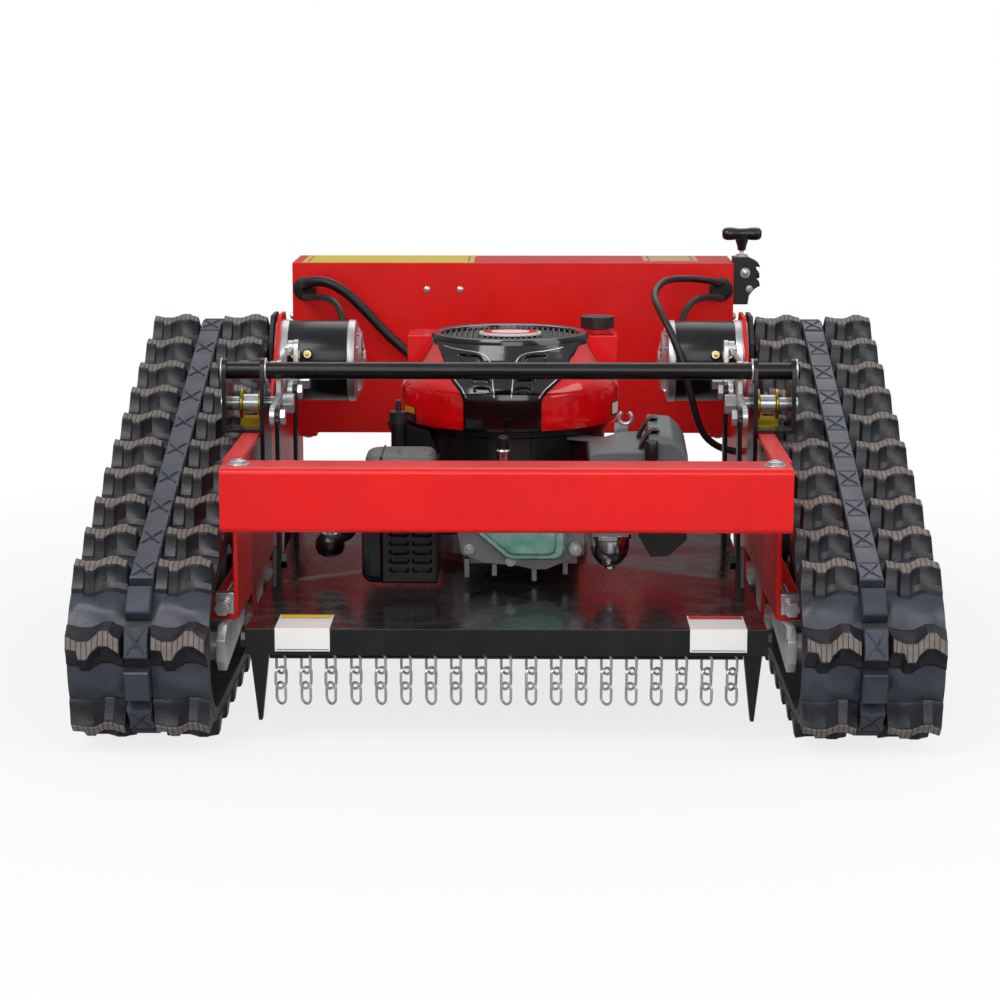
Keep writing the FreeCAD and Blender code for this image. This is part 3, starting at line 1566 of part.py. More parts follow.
def tube_along(points, radius):
    """A cable: straight runs joined by tangent arcs; returns the solid, its bends and its length."""
    heading = V(*points[1]) - V(*points[0])
    start = V(*points[0])
    aside = heading.cross(ALONG_X).normalize()
    over = heading.cross(aside).normalize()
    ring = [
        start + aside * a + over * b for a, b in ring_points(radius, cable_sides)
    ]
    rings = [ring]
    here, bends, length = start, [], 0.0
    for before_point, at, after_point in zip(points, points[1:], points[2:]):
        corner = V(*at)
        before, after = corner - V(*before_point), V(*after_point) - corner
        turn = before.getAngle(after)
        reach = min(before.Length, after.Length) * 45 / 100
        bends.append(reach / math.tan(turn / 2))
        before.normalize()
        after.normalize()
        entry = corner - before * reach
        length += (entry - here).Length + bends[-1] * turn
        ring = [p + entry - here for p in ring]
        rings.append(ring)
        axis = before.cross(after).normalize()
        centre = entry + axis.cross(before) * bends[-1]
        steps = max(1, round(math.degrees(turn) / cable_turn))
        step = FreeCAD.Rotation(axis, math.degrees(turn) / steps)
        for _ in range(steps):
            ring = [centre + step.multVec(p - centre) for p in ring]
            rings.append(ring)
        here = corner + after * reach
    end = V(*points[-1])
    rings.append([p + end - here for p in ring])
    return skin(rings), bends, length + (end - here).Length


def cables():
    """The looms and cables that the machine holds from end to end."""
    loom = [
        (-283, 365, 424), (-283, 345, 427), (-272, 328, 433), (-250, 320, 434), (-224, 320, 420),
        (-196, 322, 392), (-170, 324, 363), (-147, 324, 342), (-129, 325, 327), (-118, 342, 318),
        (-118, 365, 318),
    ]
    motor_left = [
        (-283, 365, 411), (-282, 345, 411), (-270, 325, 413), (-250, 304, 414), (-235, 282, 409),
        (-226, 264, 396),
        (-222, 252, 380), (-222, 243, 368),
    ]
    right_long = [
        (281, 365, 427), (280, 347, 429), (268, 330, 434), (245, 316, 438), (222, 298, 440), (202, 272, 440),
        (190, 238, 434), (184, 200, 425), (190, 164, 410), (204, 142, 386), (217, 133, 352), (228, 130, 314),
        (236, 132, 280), (246, 137, 254), (264, 142, 238), (285, 146, 231), (297, 146, 231),
    ]
    right_motor = [
        (284, 365, 411), (284, 345, 411), (272, 326, 413), (252, 306, 414), (236, 283, 408), (227, 265, 396),
        (222, 252, 380), (222, 243, 368),
    ]
    solids = []
    for route, radius in ((loom, loom_radius), (motor_left, cable_radius), (right_long, cable_radius),
                          (right_motor, cable_radius)):
        solid, bends, length = tube_along(route, radius)
        area = math.sin(2 * math.pi / cable_sides) * cable_sides / 2 * radius * radius
        print("cable radii", [round(b) for b in bends], "volume share",
            round(solid.Volume / (area * length), 3))
        solids.append(solid.cut(motor_can()).cut(flip(motor_can())))
    return solids


def fasteners():
    """Bolts and rivets of the frame, beam and box."""
    heads = []
    y = beam_front_y + beam_depth / 2
    for side in (-1, 1):
        x = side * (beam_half_width - bolt_head_radius * 2)
        heads.append(hex_z(beam_top_z, beam_top_z + bolt_head_height, x, y, bolt_head_radius))
        seat_x = side * (frame_inner_x - box_lip)
        heads.append(hex_z(
            box_bottom_z - frame_plate - bolt_head_height, box_bottom_z - frame_plate, seat_x,
            box_front_y + box_lip * 2, bolt_head_radius,
        ))
    rivet_z = box_top_z - bolt_head_radius * 4
    for x in (-bolt_head_radius * 13, -bolt_head_radius * 8):
        heads.append(rod_y(box_front_y - rivet_height, box_front_y, x, rivet_z, rivet_radius))
    return heads


# Build every sub-part and write it

belt = track_belt()
unit = tread_unit()
save("track_belt_right", [belt])
save("track_belt_left", [flip(belt)])
save("tread_lugs_right", tread_lugs(unit))
save("tread_lugs_left", [flip(s) for s in tread_lugs(flip(unit))])

for name, shape in (
    ("sprocket", sprocket()),
    ("front_idler", idler(front_idler_y, wheel_z)),
    ("rear_idler", idler(rear_idler_y, wheel_z)),
    ("road_wheel_front", road_wheel(road_wheel_places[0])),
    ("road_wheel_rear", road_wheel(road_wheel_places[1])),
    ("side_frame", side_frame()),
    ("front_rocker", rocker(rocker_front_y)),
    ("rear_rocker", rocker(rocker_rear_y)),
    ("tie_rod", tie_rod()),
):
    save(name + "_right", [shape])
    save(name + "_left", [flip(shape)])

for name, shapes in (
    ("idler_yokes", idler_yoke() + wheel_axles()),
    ("bar_stirrups", [bar_stirrup()]),
    ("pivot_shafts", pivot_shafts()),
    ("motor_cans", [motor_can()]),
    ("motor_end_shields", motor_shields() + motor_terminals()),
    ("gearcases", [gearcase()]),
    ("hanger_straps", [hanger_strap(rocker_front_y), hanger_strap(rocker_rear_y)]),
):
    save(name, shapes + [flip(s) for s in shapes])

save("front_beam", [front_beam()])
save("cross_bar", [cross_bar()])
save("control_box", [control_box()])
save("box_cover", box_cover())
save("battery_pack", battery_pack())
save("drive_controller", controllers())
save("stop_button", [stop_button()])
save("mower_deck", [mower_deck()] + deck_spikes() + deck_bolts())
save("chain_curtain", chain_curtain())
save("cutter_blade", [cutter_blade()])
save("crankshaft", [crankshaft()])
save("engine_block", [engine_block(), oil_filler(), throttle_bracket()])
save("fan_base", [fan_base()])
save("blower_housing", [blower_housing()])
save("shroud_bib", [shroud_bib()])
save("screen_cover", [screen_cover()])
save("valve_cover", [valve_cover()])
save("muffler", muffler())
save("spark_plug", [spark_plug()])
save("carburetor", [carburetor()])
save("air_filter", [air_filter()])
tank, neck_y = fuel_tank()
save("fuel_tank", [tank])
save("fuel_cap", [fuel_cap(neck_y)])
save("oil_dipstick", [dipstick_cap()])
save("throttle_lever", [throttle_lever()])
save("rope_guide", rope_guide())
save("starter_handle", [starter_handle()])
save("starter_rope", [starter_rope()])
save("cables", cables())
save("frame_fasteners", fasteners())
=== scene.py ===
import json
import logging
import math
from dataclasses import dataclass, field
from enum import Enum

import bmesh
import bpy
import numpy as np
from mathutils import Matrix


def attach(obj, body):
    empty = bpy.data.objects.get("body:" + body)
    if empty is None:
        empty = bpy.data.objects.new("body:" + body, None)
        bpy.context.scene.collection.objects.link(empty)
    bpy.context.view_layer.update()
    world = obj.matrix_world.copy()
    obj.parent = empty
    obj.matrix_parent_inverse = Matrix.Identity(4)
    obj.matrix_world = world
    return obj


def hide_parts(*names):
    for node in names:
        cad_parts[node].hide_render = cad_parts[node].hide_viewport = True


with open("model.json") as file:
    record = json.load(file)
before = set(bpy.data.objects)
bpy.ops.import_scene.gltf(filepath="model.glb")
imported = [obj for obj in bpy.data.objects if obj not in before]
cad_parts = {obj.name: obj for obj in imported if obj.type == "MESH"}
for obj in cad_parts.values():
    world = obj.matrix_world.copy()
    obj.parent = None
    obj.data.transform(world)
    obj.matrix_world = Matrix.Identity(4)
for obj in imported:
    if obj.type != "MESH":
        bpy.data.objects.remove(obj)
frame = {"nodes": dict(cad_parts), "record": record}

log = logging.getLogger("mower")
Array = np.ndarray
MM = 0.001
WHITE = (1.0, 1.0, 1.0, 1.0)
SHARP_ANGLE = 32.0
SHAFT = (0.0, 0.0, 0.0)
UP, DOWN = (0.0, 0.0, 1.0), (0.0, 0.0, -1.0)
FRONT, BACK = (0.0, -1.0, 0.0), (0.0, 1.0, 0.0)


def linear(hex_colour: str) -> tuple[float, float, float, float]:
    """Turns a written colour into the linear one that shaders take.

    Args:
        hex_colour: Six hexadecimal digits, red first.

    Returns:
        Red, green, blue and 1. Each channel c below 0.04045 is c / 12.92, and else
        ((c + 0.055) / 1.055) to the power 2.4.
    """
    value = np.array([int(hex_colour[i:i + 2], 16) for i in (0, 2, 4)]) / 255
    value = np.where(value < 0.04045, value / 12.92, ((value + 0.055) / 1.055) ** 2.4)
    return (*value.tolist(), 1.0)


class Tree:
    """A short way to add nodes to one node tree and join them."""

    def __init__(self, tree: bpy.types.NodeTree) -> None:
        """Keeps the tree and clears it.

        Args:
            tree: The node tree of a material, world or group.
        """
        self.tree = tree
        tree.nodes.clear()

    def add(self, kind: str, inputs: dict | None = None, **settings: object) -> bpy.types.Node:
        """Adds one node.

        Args:
            kind: The node's class name without its ShaderNode start.
            inputs: For each input, by name or number, a plain value or a socket to link from.
            settings: Properties of the node itself.

        Returns:
            The new node.
        """
        node = self.tree.nodes.new(kind if kind.startswith("NodeGroup") else "ShaderNode" + kind)
        for name, value in settings.items():
            setattr(node, name, value)
        for name, value in (inputs or {}).items():
            socket = node.inputs[name]
            if isinstance(value, bpy.types.NodeSocket):
                self.link(value, socket)
            else:
                socket.default_value = value
        return node

    def link(self, value: bpy.types.NodeSocket, socket: bpy.types.NodeSocket) -> None:
        """Joins an output to an input."""
        self.tree.links.new(value, socket)

    def place(self) -> bpy.types.NodeSocket:
        """Gives the place on the piece, in Object coordinates."""
        return self.add("TexCoord").outputs["Object"]

    def noise(self, place: object, scale: object, detail: float,
              roughness: float = 0.5) -> bpy.types.NodeSocket:
        """Adds a noise.

        Args:
            place: The socket of the place on the piece.
            scale: How many patches fit into a metre, as a number or a socket.
            detail: How many finer noises lie on top.
            roughness: How strong these are.

        Returns:
            The noise's value, between 0 and 1 with its middle near 0.5.
        """
        given = {"Vector": place, "Scale": scale, "Detail": detail, "Roughness": roughness}
        return self.add("TexNoise", given).outputs[0]

    def math(self, operation: str, *values: object, clamp: bool = False) -> bpy.types.NodeSocket:
        """Adds a Math node and gives its result.

        Args:
            operation: Blender's name of the operation.
            values: Numbers or sockets, in the node's order.
            clamp: True to hold the result between 0 and 1.

        Returns:
            The result socket.
        """
        return self.add("Math", dict(enumerate(values)), operation=operation, use_clamp=clamp).outputs[0]

    def mix(self, share: object, first: object, second: object) -> bpy.types.NodeSocket:
        """Mixes two colours.

        Args:
            share: How much of the second colour shows, from 0 to 1.
            first: The colour at 0.
            second: The colour at 1.

        Returns:
            The mixed colour's socket.
        """
        return self.add("Mix", {0: share, 6: first, 7: second}, data_type="RGBA").outputs[2]

    def spread(self, value: object, low: float, high: float, to_low: float = 0.0,
               to_high: float = 1.0) -> bpy.types.NodeSocket:
        """Stretches a range of values to another one and holds it there.

        Args:
            value: The socket to stretch.
            low: The value that becomes to_low.
            high: The value that becomes to_high.
            to_low: The low end of the result.
            to_high: The high end of the result.

        Returns:
            The stretched value's socket.
        """
        return self.add("MapRange", {0: value, 1: low, 2: high, 3: to_low, 4: to_high}).outputs[0]


class Effects:
    """The node groups that several finishes share. Each is built once."""

    def __init__(self) -> None:
        """Builds every group."""
        self.tone = self.make_tone()
        self.grain = self.make_grain()
        self.dust = self.make_dust()
        self.wear = self.make_wear()

    @staticmethod
    def empty(name: str, inputs: dict[str, object], outputs: dict[str, str]) -> tuple[Tree, object, object]:
        """Starts a group.

        Args:
            name: The group's name.
            inputs: Each input's name and its first value. A tuple makes a colour.
            outputs: Each output's name and Color or Float.

        Returns:
            The tree, its input node and its output node.
        """
        group = bpy.data.node_groups.new(name, "ShaderNodeTree")
        for label, value in inputs.items():
            kind = "NodeSocketColor" if isinstance(value, tuple) else "NodeSocketFloat"
            group.interface.new_socket(label, in_out="INPUT", socket_type=kind).default_value = value
        for label, kind in outputs.items():
            group.interface.new_socket(label, in_out="OUTPUT", socket_type="NodeSocket" + kind)
        tree = Tree(group)
        return tree, tree.add("NodeGroupInput"), tree.add("NodeGroupOutput")

    def make_tone(self) -> bpy.types.NodeTree:
        """Builds the group that lets a colour drift in soft patches.

        Returns:
            A group that mixes Colour with Other by Amount times two noises, one large, one fine.
        """
        tree, given, out = self.empty("tone", {"Colour": linear("808080"), "Other": linear("404040"),
                                               "Scale": 8.0, "Amount": 0.5}, {"Colour": "Color"})
        place = tree.place()
        large = tree.noise(place, given.outputs["Scale"], 3.0)
        fine = tree.noise(place, tree.math("MULTIPLY", given.outputs["Scale"], 9.0), 2.0)
        both = tree.math("ADD", tree.math("MULTIPLY", large, 0.65), tree.math("MULTIPLY", fine, 0.35))
        share = tree.math("MULTIPLY", tree.spread(both, 0.35, 0.65), given.outputs["Amount"], clamp=True)
        tree.link(tree.mix(share, given.outputs["Colour"], given.outputs["Other"]), out.inputs[0])
        return tree.tree

    def make_grain(self) -> bpy.types.NodeTree:
        """Builds the group for the skin of a surface.

        Returns:
            A group that gives Roughness, drifting by Spread about its middle, and the Height of a
            fine grain with the given Scale.
        """
        tree, given, out = self.empty("grain", {"Scale": 600.0, "Roughness": 0.4, "Spread": 0.1},
                                      {"Roughness": "Float", "Height": "Float"})
        place = tree.place()
        fine = tree.noise(place, given.outputs["Scale"], 2.0)
        patch = tree.noise(place, 22.0, 4.0)
        drift = tree.math("MULTIPLY", tree.math("SUBTRACT", patch, 0.5), given.outputs["Spread"])
        rough = tree.math("ADD", given.outputs["Roughness"], tree.math("MULTIPLY", drift, 2.0), clamp=True)
        tree.link(rough, out.inputs["Roughness"])
        tree.link(fine, out.inputs["Height"])
        return tree.tree

    def make_dust(self) -> bpy.types.NodeTree:
        """Builds the group for dust that settles.

        Returns:
            A group whose Mask is Amount times a noise, strongest on faces that look up.
        """
        tree, given, out = self.empty("dust", {"Amount": 0.3, "Scale": 30.0}, {"Mask": "Float"})
        up = tree.add("SeparateXYZ", {0: tree.add("NewGeometry").outputs["Normal"]}).outputs[2]
        settled = tree.spread(up, -0.4, 1.0, 0.12, 1.0)
        patches = tree.spread(tree.noise(tree.place(), given.outputs["Scale"], 6.0, 0.7), 0.42, 0.68)
        both = tree.math("MULTIPLY", settled, patches)
        tree.link(tree.math("MULTIPLY", both, given.outputs["Amount"], clamp=True), out.inputs[0])
        return tree.tree

    def make_wear(self) -> bpy.types.NodeTree:
        """Builds the group for rubbed edges.

        Returns:
            A group whose Mask is 1 where the normal, rounded over Radius, leaves the true one,
            broken up by a noise and scaled by Amount.
        """
        tree, given, out = self.empty("edge_wear", {"Radius": 0.002, "Amount": 0.5}, {"Mask": "Float"})
        soft = tree.add("Bevel", {"Radius": given.outputs["Radius"]}, samples=4).outputs[0]
        true = tree.add("NewGeometry").outputs["Normal"]
        alike = tree.add("VectorMath", {0: soft, 1: true}, operation="DOT_PRODUCT").outputs["Value"]
        edge = tree.spread(alike, 0.97, 0.80)
        broken = tree.math("MULTIPLY", edge, tree.spread(tree.noise(tree.place(), 90.0, 5.0), 0.45, 0.62))
        tree.link(tree.math("MULTIPLY", broken, given.outputs["Amount"], clamp=True), out.inputs[0])
        return tree.tree


class Surface(Enum):
    """How a finish carries its fine relief."""

    SMOOTH = 0.0
    FINE = 0.00004
    PEEL = 0.00010
    CAST = 0.00030
    SCUFFED = 0.00050


@dataclass(frozen=True)
class Finish:
    """One finish of the mower. Colours are written as they show."""

    name: str
    colour: str
    other: str
    roughness: float
    relief: Surface = Surface.FINE
    metallic: float = 0.0
    coat: float = 0.0
    shine: float = 0.5
    drift: float = 0.5
    patch_scale: float = 8.0
    grain_scale: float = 900.0
    spread: float = 0.08
    dust: float = 0.0
    dust_colour: str = "8A8074"
    wear: float = 0.0
    wear_colour: str = "8C8C8C"
    wear_radius: float = 0.0015
    coat_roughness: float = 0.06
    dust_scale: float = 30.0
    dust_roughness: float = 0.5

    def make(self, effects: Effects) -> bpy.types.Material:
        """Builds the material.

        Args:
            effects: The shared node groups.

        Returns:
            A material whose colour drifts, gathers dust and wears at its edges.
        """
        material = bpy.data.materials.new(self.name)
        material.use_nodes = True
        tree = Tree(material.node_tree)
        colour, rough, height = self.layers(tree, effects)
        shader = tree.add("BsdfPrincipled", {"Base Color": colour, "Roughness": rough,
                                             "Metallic": self.metallic,
                                             "Specular IOR Level": self.shine, "Coat Weight": self.coat,
                                             "Coat Roughness": self.coat_roughness})
        if self.relief is not Surface.SMOOTH:
            bump = tree.add("Bump", {"Height": height, "Distance": self.relief.value, "Strength": 1.0})
            tree.link(bump.outputs[0], shader.inputs["Normal"])
        out = tree.add("OutputMaterial", {"Surface": shader.outputs[0]})
        out.is_active_output = True
        return material

    def layers(self, tree: Tree, effects: Effects) -> tuple[object, object, object]:
        """Puts the finish together, layer on layer.

        Args:
            tree: The material's tree.
            effects: The shared node groups.

        Returns:
            The sockets of the colour, the roughness and the relief's height.
        """
        colour = self.group(tree, effects.tone, Colour=linear(self.colour), Other=linear(self.other),
                            Scale=self.patch_scale, Amount=self.drift).outputs[0]
        grain = self.group(tree, effects.grain, Scale=self.grain_scale, Roughness=self.roughness,
                           Spread=self.spread)
        rough = grain.outputs["Roughness"]
        if self.wear:
            mask = self.group(tree, effects.wear, Radius=self.wear_radius, Amount=self.wear).outputs[0]
            colour = tree.mix(mask, colour, linear(self.wear_colour))
        if self.dust:
            mask = self.group(tree, effects.dust, Amount=self.dust, Scale=self.dust_scale).outputs[0]
            colour = tree.mix(mask, colour, linear(self.dust_colour))
            rough = tree.math("ADD", rough, tree.math("MULTIPLY", mask, self.dust_roughness), clamp=True)
        return colour, rough, grain.outputs["Height"]

    @staticmethod
    def group(tree: Tree, group: bpy.types.NodeTree, **values: object) -> bpy.types.Node:
        """Places a shared group with this finish's own values.

        Args:
            tree: The material's tree.
            group: The shared group.
            values: Each input's name and value.

        Returns:
            The group's node.
        """
        node = tree.add("Group", node_tree=group)
        for name, value in values.items():
            node.inputs[name].default_value = value
        return node


@dataclass(frozen=True)
class TreadFinish(Finish):
    """Moulded rubber with worn, finely cut crowns. The mark is 1 on a crown, below 0 in a valley, and -1 on
    the near-black painted shade of a pad's cut.
    """

    crown: str = "7C726B"
    crown_other: str = "5E5753"
    valley: str = "3E434F"
    cut_spacing: float = 0.0056
    cut_wobble: float = 0.002
    cut_darkness: float = 0.75
    cut_depth: float = 2.5
    crown_roughness: float = 0.25
    # Painted shade: the near-black colour of the sheet that stands for a pad's cut.
    painted_slit_shade: tuple[float, float, float, float] = (0.003, 0.003, 0.004, 1.0)

    def layers(self, tree: Tree, effects: Effects) -> tuple[object, object, object]:
        """Adds the crowns, the cuts across them, the lighter valleys and the near-black painted shade of the
        pads' cuts to the rubber.

        Args:
            tree: The material's tree.
            effects: The shared node groups.

        Returns:
            The sockets of the colour, the roughness and the relief's height. A cut is where x over
            the spacing lies near a whole number.
        """
        colour, rough, height = super().layers(tree, effects)
        mark = tree.add("Attribute", attribute_name="mark").outputs["Fac"]
        place = tree.place()
        x = tree.add("SeparateXYZ", {0: place}).outputs[0]
        x = tree.math("ADD", x, tree.math("MULTIPLY", tree.noise(place, 35.0, 1.0), self.cut_wobble))
        share = tree.math("FRACT", tree.math("DIVIDE", x, self.cut_spacing))
        cut = tree.spread(tree.math("ABSOLUTE", tree.math("SUBTRACT", share, 0.5)), 0.40, 0.46)
        on_crown = tree.spread(mark, 0.5, 0.9)
        worn = self.group(tree, effects.tone, Colour=linear(self.crown), Other=linear(self.crown_other),
                          Scale=90.0, Amount=0.8).outputs[0]
        worn = tree.mix(tree.math("MULTIPLY", cut, self.cut_darkness), worn, linear(self.colour))
        low = self.group(tree, effects.tone, Colour=linear(self.valley), Other=linear(self.other), Scale=26.0,
                         Amount=0.7).outputs[0]
        colour = tree.mix(tree.spread(mark, -0.1, -0.35), colour, low)
        colour = tree.mix(on_crown, colour, worn)
        # Painted shade: marks below -0.6 fade to near black, fully at -0.9, for the shadow inside a pad's
        # cut.
        colour = tree.mix(tree.spread(mark, -0.6, -0.9), colour, self.painted_slit_shade)
        depth = tree.math("MULTIPLY", tree.math("MULTIPLY", cut, on_crown), self.cut_depth)
        rough = tree.math("ADD", rough, tree.math("MULTIPLY", on_crown, self.crown_roughness), clamp=True)
        return colour, rough, tree.math("SUBTRACT", height, depth)


FINISHES = {f.name: f for f in (
    Finish("red_paint", "E60705", "C80403", 0.32, Surface.PEEL, coat=0.12, shine=0.4, drift=0.45,
           grain_scale=420.0,
           dust=0.02, wear=0.25, wear_colour="7A1512"),
    Finish("black_paint", "08090D", "101218", 0.26, Surface.PEEL, coat=0.10, shine=0.35, grain_scale=500.0,
           dust=0.05,
           wear=0.35, wear_colour="4A4A4C"),
    Finish("deck_black", "0C0C0F", "17161A", 0.22, Surface.PEEL, coat=0.25, grain_scale=300.0, dust=0.30,
           dust_colour="4A3B32", wear=0.3, wear_colour="55504A"),
    Finish("zinc_steel", "D8DADC", "AEB1B4", 0.24, Surface.FINE, metallic=0.7, drift=0.6, patch_scale=40.0,
           spread=0.15, dust=0.06),
    Finish("brass_zinc", "DCCB96", "BFA868", 0.26, Surface.FINE, metallic=1.0, drift=0.6, patch_scale=60.0),
    Finish("track_rubber", "17181B", "212226", 0.46, Surface.CAST, drift=0.6, patch_scale=30.0,
           grain_scale=500.0, spread=0.16, dust=0.30, dust_colour="4A4744", wear=0.25, wear_colour="4B4846"),
    TreadFinish("tread_rubber", "16171C", "262830", 0.38, Surface.CAST, drift=0.7, patch_scale=40.0,
                grain_scale=450.0, spread=0.16, dust=0.12, dust_colour="4A4744", wear=0.3,
                wear_colour="4C4844"),
    Finish("cast_alloy", "A9ABAD", "8A8C8F", 0.48, Surface.CAST, metallic=0.9, drift=0.6, patch_scale=25.0,
           grain_scale=700.0, dust=0.15),
    Finish("cover_alloy", "D3E4DE", "4FAE95", 0.24, Surface.CAST, metallic=0.45, coat=0.3, drift=0.9,
           patch_scale=9.0),
    Finish("cast_steel", "3A3B3E", "28292B", 0.52, Surface.CAST, metallic=0.6, drift=0.6, patch_scale=25.0,
           dust=0.2),
    Finish("red_gloss", "EC0C12", "B8080E", 0.16, Surface.SMOOTH, coat=0.6, drift=0.35, patch_scale=5.0),
    Finish("black_gloss", "050507", "0D0D10", 0.15, Surface.SMOOTH, coat=0.5, drift=0.4, dust=0.03),
    Finish("black_plastic", "131416", "1D1E20", 0.42, Surface.CAST, drift=0.5, grain_scale=1200.0, dust=0.14,
           dust_colour="6A665F"),
    Finish("grey_plastic", "5B6063", "4C5154", 0.45, Surface.FINE, drift=0.5, dust=0.1),
    Finish("cable_rubber", "0D0D0F", "17171A", 0.40, Surface.FINE, drift=0.5, dust=0.08),
    Finish("battery_case", "2A2D31", "1F2225", 0.45, Surface.FINE, drift=0.5),
    Finish("black_satin", "0B0C0E", "17181A", 0.30, Surface.FINE, coat=0.2, drift=0.5, dust=0.06,
           dust_colour="6A665F"),
    Finish("motor_silver", "D0D2D6", "A6A9AE", 0.34, Surface.FINE, metallic=0.85, drift=0.5, patch_scale=20.0,
           spread=0.14, dust=0.08),
    Finish("yellow_zinc", "C8B02A", "9C8A1E", 0.30, Surface.FINE, metallic=0.9, drift=0.6, patch_scale=50.0),
    # Bright metal: real on the plug, the float bowl and small bolts, and painted highlight on the shroud
    # panel's tubes.
    Finish("bright_metal_and_highlight", "D8DADC", "B0B2B4", 0.18, Surface.SMOOTH, metallic=1.0, drift=0.3),
    Finish("plate_white", "EDEDEB", "D8D8D4", 0.40, Surface.FINE, coat=0.2, drift=0.4, dust=0.08),
    Finish("plate_red", "C81818", "A81212", 0.40, Surface.FINE, coat=0.2, drift=0.4),
    Finish("strip_yellow", "F0D21E", "DDBB12", 0.40, Surface.FINE, coat=0.2, drift=0.4, dust=0.05),
    Finish("tag_tan", "D9B07A", "C49A62", 0.42, Surface.FINE, coat=0.2, drift=0.4, dust=0.05),
    Finish("strip_orange", "E88A1C", "D07612", 0.40, Surface.FINE, coat=0.2, drift=0.4),
    Finish("red_button", "C3140F", "A00E0B", 0.25, Surface.SMOOTH, coat=0.4, drift=0.3),
    Finish("rope_white", "DAD6CC", "B9B4A8", 0.75, Surface.SCUFFED, drift=0.6, patch_scale=60.0,
           grain_scale=1500.0),
)}


def table(*rows: tuple[float, ...]) -> Array:
    """Gives rows of numbers as one array."""
    return np.array(rows, float)


def full_turn(count: int) -> Array:
    """Gives so many even angles of one full turn, in radians from 0."""
    return np.linspace(0, 2 * np.pi, count, endpoint=False)


def travelled(rows: Array) -> Array:
    """Gives the distance along a row of places from its start to each of them."""
    return np.append(0, np.cumsum(np.linalg.norm(np.diff(rows, axis=0), axis=1)))


def places(x: object, y: object, z: object) -> Array:
    """Joins three coordinates, stretched to one common grid, into places."""
    return np.stack(np.broadcast_arrays(x, y, z), axis=-1)


def basis(axis: object) -> tuple[Array, Array, Array]:
    """Finds two directions square to an axis.

    Args:
        axis: Any direction.

    Returns:
        The axis with length 1, and two unit directions square to it and to each other.
    """
    axis = np.asarray(axis, float)
    axis = axis / np.linalg.norm(axis)
    aside = np.cross(axis, (0.0, 0.0, 1.0) if abs(axis[2]) < 0.9 else (0.0, 1.0, 0.0))
    aside = aside / np.linalg.norm(aside)
    return axis, aside, np.cross(axis, aside)


def flowing(points: object, steps: int = 8) -> Array:
    """Draws a smooth line near a row of places.

    Args:
        points: The places, in millimetres.
        steps: How many points stand for each piece of the line.

    Returns:
        Points of the quadratic B-spline that starts and ends at the row's ends. Between three
        places A, B, C it is (1 - t)^2 / 2 of A, 1/2 + t (1 - t) of B and t^2 / 2 of C.
    """
    row = np.asarray(points, float)
    row = np.vstack([2 * row[0] - row[1], row, 2 * row[-1] - row[-2]])
    t = (np.arange(steps) / steps)[None, :, None]
    a, b, c = row[:-2, None], row[1:-1, None], row[2:, None]
    line = (1 - t) ** 2 / 2 * a + (0.5 + t * (1 - t)) * b + t * t / 2 * c
    line = line.reshape(-1, 3)[steps // 2:-(steps // 2) + 1 or None]
    return np.vstack([np.asarray(points, float)[0], line[1:-1], np.asarray(points, float)[-1]])


